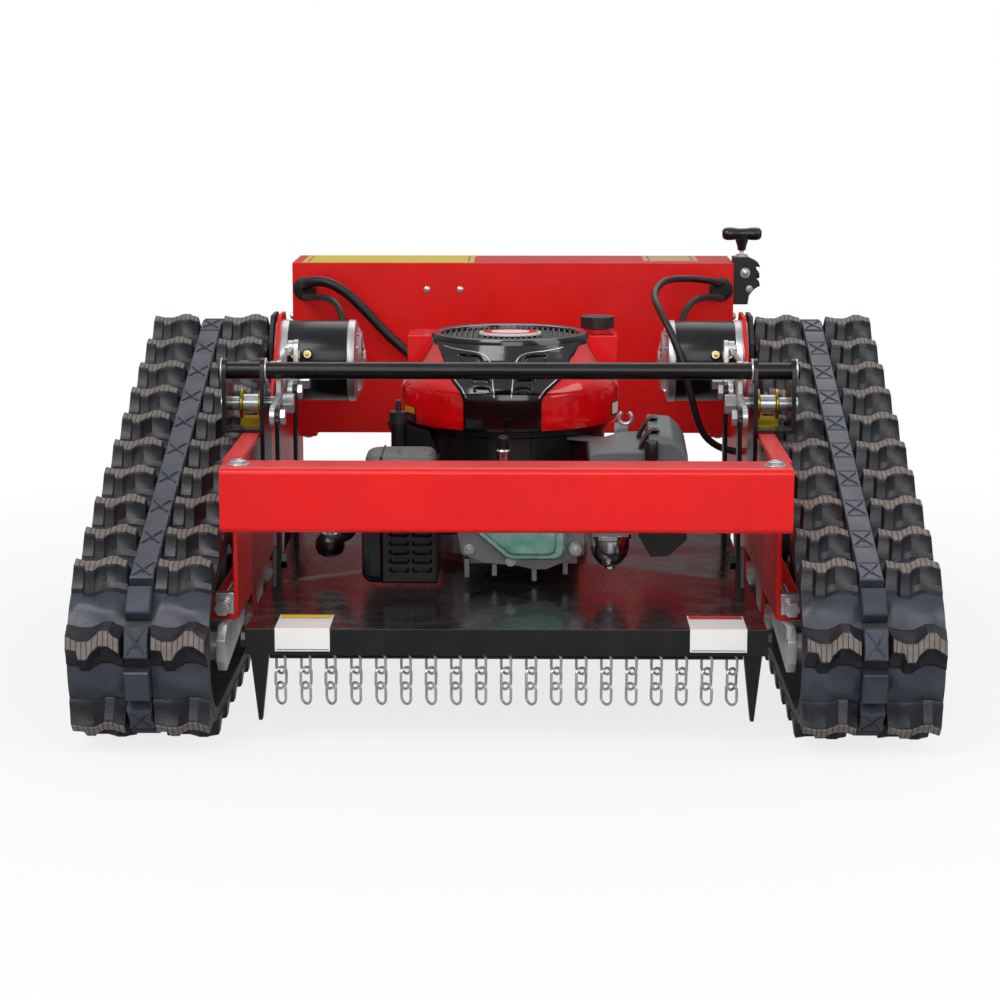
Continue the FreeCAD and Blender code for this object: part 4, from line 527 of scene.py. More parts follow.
class Skin:
    """Gathers the surfaces of one piece, in millimetres, each with a slot and a mark."""

    def __init__(self) -> None:
        """Starts with nothing."""
        self.points: list[Array] = []
        self.marks: list[Array] = []
        self.faces: list[list[int]] = []
        self.slots: list[int] = []
        self.count = 0

    def rings(self, rings: Array, slot: int = 0, mark: object = 0.0, caps: bool = True) -> None:
        """Adds closed forms through rings of equally many corners.

        Args:
            rings: Places, the last three axes being ring, corner and coordinate. Axes before them
                count separate copies.
            slot: The number of the finish.
            mark: A number for the shader, or one for each ring.
            caps: True to close the first and the last ring with a face.
        """
        rings = np.asarray(rings, float)
        bands, sides = rings.shape[-3:-1]
        copies = rings.reshape(-1, bands, sides, 3)
        spot = np.arange(copies.size // 3).reshape(copies.shape[:3]) + self.count
        after = np.roll(spot, -1, axis=2)
        faces = np.stack([spot[:, :-1], after[:, :-1], after[:, 1:], spot[:, 1:]],
                         axis=-1).reshape(-1, 4).tolist()
        if caps:
            faces += spot[:, 0].tolist() + spot[:, -1].tolist()
        marks = np.broadcast_to(np.reshape(mark, (1, -1, 1)), copies.shape[:3])
        self.points.append(copies.reshape(-1, 3))
        self.marks.append(marks.reshape(-1))
        self.faces += faces
        self.slots += [slot] * len(faces)
        self.count += copies.size // 3

    def slab(self, top: Array, base: Array, slot: int = 0) -> None:
        """Adds a closed sheet between two grids of places.

        Args:
            top: The outer grid, rows by columns by 3.
            base: The inner grid, of the same shape.
            slot: The number of the finish.
        """
        around = np.concatenate([top, base[::-1]], axis=0)
        self.rings(around.swapaxes(0, 1), slot)

    def lathe(self, profile: object, place: object, axis: object, sides: int = 32, slot: int = 0) -> None:
        """Adds a form turned round an axis.

        Args:
            profile: Pairs of radius and distance along the axis.
            place: Where distance 0 lies, or several such places.
            axis: The axis' direction.
            sides: How many corners each ring has.
            slot: The number of the finish.
        """
        along, aside, over = basis(axis)
        angle = full_turn(sides)
        circle = np.cos(angle)[:, None] * aside + np.sin(angle)[:, None] * over
        profile = np.asarray(profile, float)
        rings = profile[:, 0, None, None] * circle + (profile[:, 1, None] * along)[:, None]
        self.rings(rings + np.asarray(place, float).reshape(-1, 1, 1, 3), slot)

    def prism(self, outline: object, axis: int, low: float, high: float, slot: int = 0) -> None:
        """Adds a straight piece with one outline.

        Args:
            outline: Pairs of the two other coordinates, in the order X, Y, Z.
            axis: 0, 1 or 2 for the direction it runs in.
            low: Where it starts along that axis.
            high: Where it ends.
            slot: The number of the finish.
        """
        flat = np.asarray(outline, float)
        ends = [np.insert(flat, axis, place, axis=1) for place in (low, high)]
        self.rings(np.stack(ends), slot)

    def block(self, low: tuple, high: tuple, slot: int = 0) -> None:
        """Adds a rectangular block.

        Args:
            low: Its lowest corner.
            high: Its highest corner.
            slot: The number of the finish.
        """
        outline = [(low[0], low[1]), (high[0], low[1]), (high[0], high[1]), (low[0], high[1])]
        self.prism(outline, 2, low[2], high[2], slot)

    def tube(self, path: Array, radius: object, sides: int, upright: tuple) -> None:
        """Adds a round tube along a line.

        Args:
            path: The line's points.
            radius: The tube's radius, or one for each point.
            sides: How many corners each ring has.
            upright: A direction that the line never follows.
        """
        path = np.asarray(path, float)
        heading = np.gradient(path, axis=0)
        heading = heading / np.linalg.norm(heading, axis=1, keepdims=True)
        aside = np.cross(heading, np.asarray(upright, float))
        aside = aside / np.linalg.norm(aside, axis=1, keepdims=True)
        over = np.cross(heading, aside)
        angle = full_turn(sides)
        reach = np.broadcast_to(np.asarray(radius, float), len(path))[:, None, None]
        rings = path[:, None] + reach * (np.cos(angle)[None, :, None] * aside[:, None]
                                         + np.sin(angle)[None, :, None] * over[:, None])
        self.rings(rings)

    def hexagon(self, place: object, axis: object, radius: float, height: float, slot: int = 0) -> None:
        """Adds a hexagon head with broken corners on a washer.

        Args:
            place: The middle of its seat, or several such places.
            axis: The direction it points in.
            radius: Half its width over the corners.
            height: How far it stands out, washer and thread end included.
            slot: The number of the finish.
        """
        washer, body = 0.18 * height, 0.78 * height
        self.lathe([(0, 0), (1.35 * radius, 0), (1.4 * radius, 0.4 * washer), (1.35 * radius, washer),
                    (0, washer)],
                   place, axis, 24, slot)
        self.lathe([(radius, washer), (radius, 0.9 * body), (0.86 * radius, body), (0, body)], place, axis, 6,
                   slot)
        self.lathe([(0.5 * radius, 0.9 * body), (0.5 * radius, 0.94 * height), (0.4 * radius, height),
                    (0, height)],
                   place, axis, 16, slot)


@dataclass
class Dresser:
    """Turns the frame's nodes and new surfaces into finished pieces."""

    effects: Effects
    slots: dict[str, str]
    bodies: dict[str, str]
    materials: dict[str, bpy.types.Material] = field(default_factory=dict)
    done: set[str] = field(default_factory=set)
    node_edge_mm: float = 0.8
    node_merge: float = 0.00002
    form_merge: float = 1e-6
    flat_angle: float = 0.6

    def material(self, finish: str) -> bpy.types.Material:
        """Gives the material of a finish, built on its first use.

        Args:
            finish: The finish's name.

        Returns:
            Its material.
        """
        if finish not in self.materials:
            self.materials[finish] = FINISHES[finish].make(self.effects)
        return self.materials[finish]

    def smooth(self, piece: bpy.types.Object, bevel_mm: float, angle: float) -> None:
        """Shades a piece smooth between its sharp edges, which get a small round.

        Args:
            piece: The piece.
            bevel_mm: Width of the round on the sharp edges, or 0 for none.
            angle: Edges that turn more than this many degrees are sharp.
        """
        piece.data.shade_smooth()
        piece.data.set_sharp_from_angle(angle=math.radians(angle))
        if bevel_mm:
            edges = piece.modifiers.new("edges", "BEVEL")
            edges.width = bevel_mm * MM
            edges.segments = 2
            edges.limit_method = "ANGLE"
            edges.angle_limit = math.radians(angle)
            edges.harden_normals = True
            edges.use_clamp_overlap = True

    def node(self, node: str) -> None:
        """Replaces a node of the frame by a copy with rounded edges and the finish of its slot.

        Args:
            node: The node's name.
        """
        source = frame["nodes"][node]
        mesh = source.data.copy()
        mesh.name = node + "_form"
        work = bmesh.new()
        work.from_mesh(mesh)
        bmesh.ops.remove_doubles(work, verts=work.verts, dist=self.node_merge)
        bmesh.ops.dissolve_limit(work, angle_limit=math.radians(self.flat_angle), verts=work.verts,
                                edges=work.edges)
        work.to_mesh(mesh)
        work.free()
        mesh.transform(source.matrix_world)
        mesh.materials.clear()
        mesh.materials.append(self.material(self.slots[node]))
        self.place(mesh, self.bodies[node], (node,), self.node_edge_mm, SHARP_ANGLE)

    def form(self, name: str, skin: Skin, finishes: tuple[str, ...], body: str,
             replaces: tuple[str, ...] = (),
             bevel_mm: float = 0.0, angle: float = SHARP_ANGLE) -> None:
        """Makes a piece from gathered surfaces.

        Args:
            name: The piece's name.
            skin: Its surfaces.
            finishes: The finish of each of its slots.
            body: The body that it rides on.
            replaces: The nodes that it stands for.
            bevel_mm: Width of the round on its edges.
            angle: Edges that turn more than this many degrees are sharp.
        """
        mesh = bpy.data.meshes.new(name)
        mesh.from_pydata((np.concatenate(skin.points) * MM).tolist(), [], skin.faces)
        mesh.attributes.new("mark", "FLOAT", "POINT").data.foreach_set("value", np.concatenate(skin.marks))
        mesh.polygons.foreach_set("material_index", skin.slots)
        work = bmesh.new()
        work.from_mesh(mesh)
        bmesh.ops.remove_doubles(work, verts=work.verts, dist=self.form_merge)
        bmesh.ops.recalc_face_normals(work, faces=work.faces)
        work.to_mesh(mesh)
        work.free()
        for finish in finishes:
            mesh.materials.append(self.material(finish))
        self.place(mesh, body, replaces, bevel_mm, angle)

    def place(self, mesh: bpy.types.Mesh, body: str, replaces: tuple[str, ...], bevel_mm: float,
              angle: float) -> None:
        """Puts a mesh in the scene on its body.

        Args:
            mesh: The mesh, whose name the piece takes.
            body: The body that it rides on.
            replaces: The nodes that it stands for.
            bevel_mm: Width of the round on its edges.
            angle: Edges that turn more than this many degrees are sharp.
        """
        piece = bpy.data.objects.new(mesh.name, mesh)
        bpy.context.scene.collection.objects.link(piece)
        self.smooth(piece, bevel_mm, angle)
        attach(piece, body)
        if replaces:
            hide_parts(*replaces)
            self.done.update(replaces)
        log.info("%s: %d corners", piece.name, len(mesh.vertices))


@dataclass(frozen=True)
class Tracks:
    """Both rubber tracks: zigzag bars, a soft valley between them and a band of centre pads."""

    pitch: float = 72.0
    links: int = 30
    teeth: int = 6
    half_width: float = 75.0
    centre_x: float = 388.0
    front_idler: tuple[float, float] = (-412.0, 102.755)
    sprocket: tuple[float, float] = (205.0, 300.0)
    rear_idler_y: float = 394.626
    belt_rise: float = 10.0
    pad_height: float = 15.0
    pad_half: float = 13.2
    band_half: float = 14.6
    zigzag: float = 10.0
    seam: float = 0.9
    bar_near: tuple = ((0, 0.3), (0.2, 0.15), (0.25, -0.8), (0.41, -0.8), (0.47, -0.1), (0.62, 0.65),
                       (0.79, 0.65), (1, -0.1))
    bar_far: tuple = ((1, 0.3), (0.87, 0.75), (0.8, 1.25), (0.64, 1.25), (0.57, 0.8), (0.42, 0.1),
                      (0.22, 0.1), (0, 0.7))
    bar_levels: tuple = ((-2.0, 20.5, 0.55, 0), (2.5, 18.5, 0.6, 0), (6.5, 13.0, 0.8, 0.3),
                         (19.0, 6.6, 1, 1.6), (22.6, 5.2, 1, 2.0), (22.7, 5.1, 1, 2.1), (24.0, 4.2, 1, 3.0))
    bar_marks: tuple = (0, 0, 0, 0, 0, 1, 1)
    valley_steps: int = 24
    valley_columns: int = 14
    valley_lift: float = 0.4
    swell_height: float = 4.0
    swell_place: float = 0.52
    swell_bend: float = 0.06
    swell_width: float = 0.13
    swell_fullness: float = 2.2
    low_mark: float = -0.4
    slit_shade_mark: float = -1.0
    pad_edge: tuple[float, float] = (1.6, 1.4)
    pad_offset: float = 4.0
    ridge: tuple = ((-1.6, 0.0), (-0.6, 1.5), (0.6, 1.5), (1.6, 0.0))
    ridge_inset: float = 4.0
    ridge_lean: float = 0.7
    ridge_sunk: float = 0.2
    # Painted shade: the outline of the near-black sheet that stands for a pad's cut, and its height.
    painted_slit_shade: tuple = ((-0.8, -6), (0.8, -6.5), (4.5, 6), (2.9, 6.5))
    slit_shade_height: float = 0.9

    @property
    def wheel_radius(self) -> float:
        """The sprocket's pitch radius."""
        return self.teeth * self.pitch / (2 * np.pi)

    def line(self) -> tuple[Array, Array, Array]:
        """Works out the belt's closed line.

        Returns:
            Distances along the line where a run or a bend starts, the outward normal's angle
            there, and the middle of the wheel that the line goes round there. All three change
            evenly in between: on a run the middle moves, on a bend the angle falls.
        """
        wheels = table(self.front_idler, self.sprocket, (self.rear_idler_y, self.front_idler[1]))
        runs = np.roll(wheels, -1, axis=0) - wheels
        lengths = np.linalg.norm(runs, axis=1)
        angles = np.arctan2(runs[:, 0], -runs[:, 1])
        angles = np.unwrap(np.append(angles, angles[0] - 2 * np.pi), period=2 * np.pi)
        angles = angles[0] - np.cumsum(np.append(0, np.mod(angles[:-1] - angles[1:], 2 * np.pi)))
        steps = np.ravel(np.column_stack([lengths, self.wheel_radius * -np.diff(angles)]))
        marks = np.append(0, np.cumsum(steps))
        middles = np.repeat(np.vstack([wheels, wheels[:1]]), 2, axis=0)[:7]
        return marks, np.repeat(angles, 2)[:7], np.vstack([middles[0], middles[2:], middles[:1]])[:7]

    def lay(self, x: Array, along: Array, rise: Array, start: object, side: int) -> Array:
        """Lays places that are drawn on a flat belt onto the real one.

        Args:
            x: Distance from the track's middle, to the right.
            along: Distance along the belt from start.
            rise: Height above the pitch line.
            start: Where the piece sits along the belt. The piece stays stiff round a bend.
            side: -1 for the left track and 1 for the right one.

        Returns:
            The places: the wheel's middle there, plus the normal (cos a, sin a) times the pitch
            radius and rise, plus the tangent (sin a, -cos a) times along.
        """
        marks, angles, middles = self.line()
        spot = np.mod(start, marks[-1])
        angle = np.interp(spot, marks, angles)
        reach = self.wheel_radius + rise
        y = np.interp(spot, marks, middles[:, 0]) + reach * np.cos(angle) + along * np.sin(angle)
        z = np.interp(spot, marks, middles[:, 1]) + reach * np.sin(angle) - along * np.cos(angle)
        return places(side * self.centre_x + x, y, z)

    def bars(self, skin: Skin, side: int) -> None:
        """Adds the zigzag bars, whose walls spread towards the belt.

        Args:
            skin: Where they go.
            side: -1 for the left track and 1 for the right one.
        """
        share = table(*self.bar_near, *self.bar_far)
        way = np.repeat((-1.0, 1.0), len(self.bar_near))
        levels = table(*self.bar_levels)
        rise, half, zig, drawn = (levels[:, k, None] for k in range(4))
        width = self.half_width - self.band_half
        starts = (np.arange(self.links) * self.pitch)[:, None, None]
        for left in (-self.half_width, self.band_half):
            x = left + drawn + (width - 2 * drawn) * share[:, 0]
            along = self.zigzag * zig * share[:, 1] + way * half
            skin.rings(self.lay(x, along, self.belt_rise + rise, starts, side), mark=self.bar_marks)

    def valley(self, skin: Skin, side: int) -> None:
        """Adds the soft floor between the bars.

        Args:
            skin: Where it goes. Its rise is a bell curve over each pitch, bent by a sine across the
                belt and held down at both edges.
            side: -1 for the left track and 1 for the right one.
        """
        steps = self.links * self.valley_steps
        along = np.linspace(0, self.links * self.pitch, steps, endpoint=False)[:, None]
        phase = np.mod(along / self.pitch, 1)
        for left, right in ((-self.half_width, -self.band_half), (self.band_half, self.half_width)):
            share = np.linspace(0, 1, self.valley_columns)[None]
            x = left + (right - left) * share
            bend = self.swell_bend * np.sin(2 * np.pi * share)
            swell = np.exp(-((phase - self.swell_place - bend) / self.swell_width) ** 2)
            held = np.clip(np.sin(np.pi * share) * self.swell_fullness, 0, 1)
            rise = self.belt_rise + self.valley_lift + self.swell_height * swell * held
            top = self.lay(x, 0.0, rise, along, side)
            base = self.lay(x, 0.0, np.full_like(rise, self.belt_rise - 1), along, side)
            ring = np.concatenate([top, base[:, ::-1]], axis=1)
            skin.rings(np.concatenate([ring, ring[:1]]), mark=self.low_mark, caps=False)

    def pads(self, skin: Skin, side: int) -> None:
        """Adds the centre band: by turns a flat pad and one with a raised cross and a thin near-black sheet
        on top, painted shade for the cut in the pad.

        Args:
            skin: Where they go. Both arms of the cross are widened in the same direction, so the
                arm that runs that way is thin.
            side: -1 for the left track and 1 for the right one.
        """
        half = self.pitch / 4 - self.seam
        square = table((-1, -1), (1, -1), (1, 1), (-1, 1))
        drop, inset = self.pad_edge
        levels = table((-1.0, 0.0), (self.pad_height - drop, 0.0), (self.pad_height, inset))
        starts = (np.arange(2 * self.links) * self.pitch / 2 + self.pad_offset)[:, None, None]
        x = (self.pad_half - levels[:, 1, None]) * square[:, 0]
        along = (half - levels[:, 1, None]) * square[:, 1]
        rise = self.belt_rise + levels[:, 0, None]
        skin.rings(self.lay(x, along, rise, starts, side), mark=self.low_mark)
        ridge = table(*self.ridge)
        for ends in (table((-1, -1), (1, 1)), table((1, -1), (-1, 1))):
            middle = ends * (self.pad_half - self.ridge_inset, half - self.ridge_inset)
            x = middle[:, 0, None] + ridge[:, 0] * self.ridge_lean
            along = middle[:, 1, None] + ridge[:, 0] * self.ridge_lean
            rise = self.belt_rise + self.pad_height - self.ridge_sunk + ridge[:, 1]
            skin.rings(self.lay(x, along, rise, starts[::2], side), mark=self.low_mark)
        # Painted shade: a sheet 0.9 mm tall, marked -1, lies on every other pad where the cut's shadow would
        # show.
        painted_slit_shade = table(*self.painted_slit_shade)
        lift = self.belt_rise + self.pad_height + table((0.0,), (self.slit_shade_height,))
        skin.rings(self.lay(painted_slit_shade[:, 0], painted_slit_shade[:, 1], lift, starts[::2], side), mark=self.slit_shade_mark)

    def build(self, dresser: Dresser) -> None:
        """Builds both tracks.

        Args:
            dresser: What finishes them.
        """
        for side, name in ((-1, "left"), (1, "right")):
            skin = Skin()
            self.bars(skin, side)
            self.valley(skin, side)
            self.pads(skin, side)
            dresser.form("track_tread_" + name, skin, ("tread_rubber",), "root", ("tread_lugs_" + name,),
                         angle=28.0)


@dataclass(frozen=True)
class Curtain:
    """The chains that hang in front of the deck."""

    chains: int = 19
    links: int = 3
    span: float = 486.0
    pitch: float = 17.5
    wire: float = 3.0
    inner_width: float = 12.0
    slack: float = 0.6
    rod: tuple[float, float] = (-428.0, 95.5)
    rod_seat: float = 2.4
    link_turn: float = 45.0
    link_corners: int = 28
    wire_corners: int = 8

    def build(self, dresser: Dresser) -> None:
        """Builds every link as a bent wire.

        Args:
            dresser: What finishes them. The wire's middle goes round two half circles joined by
                straight sides, and links turn 45 degrees one way and the other by turns.
        """
        skin = Skin()
        reach = (self.inner_width + self.wire) / 2
        straight = (self.pitch + self.wire) / 2 - reach + self.wire / 2
        angle = full_turn(self.link_corners)
        outward = np.column_stack([np.cos(angle), np.sin(angle)])
        flat = reach * outward
        flat[:, 1] += straight * np.sign(np.sin(angle + 1e-6))
        around = full_turn(self.wire_corners)
        ring = flat[:, None] + self.wire / 2 * np.cos(around)[None, :, None] * outward[:, None]
        depth = np.broadcast_to(self.wire / 2 * np.sin(around), ring.shape[:2])
        x = np.linspace(-self.span / 2, self.span / 2, self.chains)
        shift = places(x, 0.0, 0.0)[:, None, None]
        first = self.rod[1] + self.rod_seat - self.pitch / 2
        for number in range(self.links):
            turn = math.radians(self.link_turn if number % 2 else -self.link_turn)
            z = first - number * (self.pitch - self.slack)
            link = places(ring[..., 0] * math.cos(turn) - depth * math.sin(turn),
                          self.rod[0] + ring[..., 0] * math.sin(turn) + depth * math.cos(turn),
                          z + ring[..., 1])
            link = np.concatenate([link, link[:1]])
            skin.rings(link[None] + shift, caps=False)
        dresser.form("curtain_chains", skin, ("zinc_steel",), "chain_curtain", ("chain_curtain",))


@dataclass(frozen=True)
class Wiring:
    """The ribbed loom and the plain cables behind the engine, held at both ends."""

    loom_radius: float = 7.0
    cable_radius: float = 4.5
    loom: tuple = ((-283, 365, 424), (-283, 345, 427), (-272, 328, 433), (-250, 320, 434), (-224, 320, 420),
                   (-196, 322, 392), (-170, 324, 363), (-147, 324, 342), (-129, 325, 327), (-118, 342, 318),
                   (-118, 365, 318))
    left: tuple = ((-283, 365, 411), (-282, 345, 411), (-270, 325, 413), (-250, 304, 414), (-235, 282, 409),
                   (-226, 264, 396), (-222, 252, 380), (-222, 243, 368))
    long: tuple = ((281, 365, 427), (280, 347, 429), (268, 330, 434), (245, 316, 438), (222, 298, 440),
                   (202, 272, 440), (190, 238, 434), (184, 200, 425), (190, 164, 410), (204, 142, 386),
                   (217, 133, 352), (228, 130, 314), (236, 132, 280), (246, 137, 254), (264, 142, 238),
                   (285, 146, 231), (297, 146, 231))
    right: tuple = ((284, 365, 411), (284, 345, 411), (272, 326, 413), (252, 306, 414), (236, 283, 408),
                    (227, 265, 396), (222, 252, 380), (222, 243, 368))
    rib_pitch: float = 4.0
    rib_height: float = 0.35
    rib_sunk: float = 0.25
    hole: tuple[float, float, float] = (283.0, 365.0, 420.0)
    grommet: tuple = ((14.5, 0), (16, 0.5), (16, 2.2), (14, 3), (9, 3), (9, -1), (14.5, -1), (14.5, 0))

    def build(self, dresser: Dresser) -> None:
        """Builds the four cables.

        Args:
            dresser: What finishes them. The loom's radius swings by a sine of the rib height either
                way, once for each rib pitch of its length.
        """
        skin = Skin()
        line = flowing(self.loom, 30)
        travel = travelled(line)
        even = np.arange(0, travel[-1], 1.0)
        line = np.column_stack([np.interp(even, travel, line[:, k]) for k in range(3)])
        swing = np.sin(2 * np.pi * even / self.rib_pitch)
        ribbed = self.loom_radius - self.rib_sunk + self.rib_height * swing
        skin.tube(line, ribbed, 16, upright=(0.3, 1.0, 0.5))
        for route, upright in ((self.left, (1.0, 0.0, 0.2)), (self.long, (1.0, 0.6, -0.3)),
                               (self.right, (1.0, 0.0, -0.2))):
            skin.tube(flowing(route, 10), self.cable_radius, 14, upright=upright)
        x, y, z = self.hole
        for side in (-1, 1):
            skin.lathe(self.grommet, (side * x, y, z), FRONT)
        dresser.form("cable_runs", skin, ("cable_rubber",), "root", ("cables",), angle=50.0)


def facing(grid: Array) -> Array:
    """Finds the direction that each place of a grid faces.

    Args:
        grid: Places, rows by columns by 3.

    Returns:
        Unit normals: the cross product of the two ways along the grid, of length 1.
    """
    normal = np.cross(np.gradient(grid, axis=1), np.gradient(grid, axis=0))
    return normal / np.linalg.norm(normal, axis=2, keepdims=True)


def step_up(value: Array, low: float, high: float) -> Array:
    """Rises softly from 0 to 1.

    Args:
        value: The values.
        low: Where the rise starts.
        high: Where it ends.

    Returns:
        t * t * (3 - 2 t), with t going evenly from 0 at low to 1 at high.
    """
    t = np.clip((value - low) / (high - low), 0, 1)
    return t * t * (3 - 2 * t)


def recess(across: Array, up: Array, middle: tuple[float, float], half: tuple[float, float],
           lean: float = 0.0) -> Array:
    """Draws a rounded pocket on a grid.

    Args:
        across: First coordinate of the grid.
        up: Second coordinate of the grid.
        middle: Where the pocket lies.
        half: Its half width and half height.
        lean: How far its top leans sideways for each step up.

    Returns:
        1 inside the pocket and 0 outside, from the fourth-power distance
        ((x / a)^4 + (y / b)^4) with a soft edge.
    """
    x = (across - middle[0] - lean * (up - middle[1])) / half[0]
    y = (up - middle[1]) / half[1]
    return 1 - step_up(x ** 4 + y ** 4, 0.55, 1.25)


@dataclass(frozen=True)
class Shroud:
    """The engine's red fan shroud with its black front panel and round screen."""

    radius: float = 134.0
    screen_radius: float = 88.0
    screen_top: float = 400.0
    panel_rise: float = 5.5
    ribs: int = 25
    rib_width: float = 3.4
    badge: tuple[float, float] = (38.0, 27.0)
    middle: float = -7.5
    edge_up: tuple = (0, 38, 50, 64, 76, 90, 100, 110)
    edge_left: tuple = (-54, -54, -60, -72, -76, -80, -85, -88)
    edge_right: tuple = (38, 38, 47, 63, 68, 73, 80, 86)
    pockets: tuple = ((38, 91, 13, 5, 0.5), (26, 60, 11, 3.4, 0.2), (24, 50, 9.5, 3.0, 0.2))
    # Painted highlight: the path of a bright tube that stands for the gleam along a pocket's top edge.
    highlight_curve: tuple = ((71, 104), (52, 101), (34, 100), (22, 97), (15.5, 90), (13, 76), (11.5, 56), (10, 41))
    profile: tuple = ((131.5, 297), (133.6, 299.5), (134, 312), (134, 335), (132.6, 340.5), (129, 346),
                      (124, 352),
                      (118, 358.5), (111, 366.5), (104.5, 375), (99, 384), (94.5, 392))

    def shell(self, up: Array) -> tuple[Array, Array]:
        """Finds where the panel's base lies over the shroud's profile.

        Args:
            up: Distance along the profile from its lower end.

        Returns:
            The radius and the height there, read off the profile and raised by the panel.
        """
        rows = table(*self.profile)
        travel = travelled(rows)
        reach = np.interp(up, travel, rows[:, 0]) + self.panel_rise * 0.8
        return reach, np.interp(up, travel, rows[:, 1]) + self.panel_rise * step_up(up, 40, 70) * 0.4

    def build(self, dresser: Dresser) -> None:
        """Builds the shroud, its panel and its screen.

        Args:
            dresser: What finishes them.
        """
        self.housing(dresser)
        self.panel(dresser)
        self.screen(dresser)

    def housing(self, dresser: Dresser) -> None:
        """Builds the red shell.

        Args:
            dresser: What finishes it. Each ring's radius swells by a bell curve at two angles,
                which gives the two full shoulders beside the panel.
        """
        skin = Skin()
        rows = table(*self.profile)
        angle = full_turn(144)
        off_front = np.abs(np.angle(np.exp(1j * (angle + np.pi / 2))))
        full = np.exp(-((off_front - 0.78) / 0.30) ** 2) + 0.7 * np.exp(-((off_front - 2.2) / 0.4) ** 2)
        level = np.clip((rows[:, 1] - 336) / 16, 0, 1) * np.clip((388 - rows[:, 1]) / 18, 0, 1)
        reach = np.minimum(rows[:, :1] + 7.0 * level[:, None] * full, self.radius)
        outer = places(reach * np.cos(angle), reach * np.sin(angle), rows[:, 1:])
        wall = outer * (0.975, 0.975, 1.0)
        skin.rings(np.concatenate([outer, wall[::-1], outer[:1]]), caps=False)
        dresser.form("engine_shroud", skin, ("red_gloss",), "deck", ("blower_housing",), angle=40.0)

    def panel(self, dresser: Dresser) -> None:
        """Builds the black front panel with its pockets.

        Args:
            dresser: What finishes it. Each row lies on a circle round the shaft, so its depth is
                the root of radius squared less x squared. Pockets sink along the normal.
        """
        skin = Skin()
        up = np.linspace(0, travelled(table(*self.profile))[-1], 110)[:, None]
        reach, height = self.shell(up)
        left = np.interp(up, self.edge_up, self.edge_left)
        right = np.interp(up, self.edge_up, self.edge_right)
        share = np.linspace(0, 1, 120)[None]
        x = left + (right - left) * share
        sunk = np.zeros_like(x)
        for side in (-1, 1):
            for off, level, wide, tall, lean in self.pockets:
                spot = (self.middle + side * off, level)
                sunk = np.maximum(sunk, recess(x, up, spot, (wide, tall), side * lean))
        edge = step_up(np.minimum(x - left, right - x), 0, 3.5) * step_up(up, -1, 2.5)
        grid = places(x, -np.sqrt(reach ** 2 - x ** 2), height)
        normal = facing(grid)
        top = grid + normal * (2.0 * edge - 3.4 * sunk)[..., None]
        skin.slab(top, grid - normal * 4.0)
        dresser.form("shroud_panel", skin, ("black_gloss",), "deck", ("shroud_bib",), angle=60.0)
        self.painted_highlights(dresser)
        self.side_plates(dresser)

    def painted_highlights(self, dresser: Dresser) -> None:
        """Builds painted highlights on the panel: thin bright metal tubes along its side edges and its pocket
        tops, which stand for the gleam there.

        Args:
            dresser: What finishes them. They are tubes that lie on the panel as its rows do.
        """
        lines = Skin()
        highlight_paths = []
        # Painted highlight: these bright tubes stand for gleams along the panel's side edges and pocket tops,
        # not for parts.
        for side, edge_x in ((-1, self.edge_left), (1, self.edge_right)):
            rise = np.linspace(40, 68, 24)
            highlight_paths.append(np.column_stack([np.interp(rise, self.edge_up, edge_x) - side * 4.5, rise]))
            curve = flowing([(self.middle + side * off, level, 0) for off, level in self.highlight_curve])
            highlight_paths.append(curve[:, :2])
        for line in highlight_paths:
            reach, height = self.shell(line[:, 1])
            y = -np.sqrt((reach + 1.6) ** 2 - line[:, 0] ** 2)
            lines.tube(places(line[:, 0], y, height + 1.0), 0.95, 8, upright=(0.3, 1, 0.2))
        dresser.form("shroud_painted_highlights", lines, ("bright_metal_and_highlight",), "deck", angle=60.0)

    def side_plates(self, dresser: Dresser) -> None:
        """Builds the two small bare plates on the shroud's sides.

        Args:
            dresser: What finishes them. Each lies on the shroud's radius between two angles.
        """
        skin = Skin()
        for start, end, low, high, share in ((-160, -147, 300, 319, 0.45), (-24, -14, 306, 322, 0.0)):
            for lift, inset, base, slot in ((1.0, 0.0, 0.0, 0), (1.3, 1.4, share, 1 if share else 2)):
                angle = np.radians(np.linspace(start + inset / 2.4, end - inset / 2.4, 12))[None]
                z = np.array([low + inset + base * (high - low), high - inset])[:, None]
                grids = [places(r * np.cos(angle), r * np.sin(angle), z)
                         for r in (self.radius + lift, self.radius - 1.0)]
                skin.slab(*grids, slot=slot)
        dresser.form("shroud_side_plates", skin, ("black_satin", "strip_orange", "plate_white"), "deck",
                     angle=60.0)

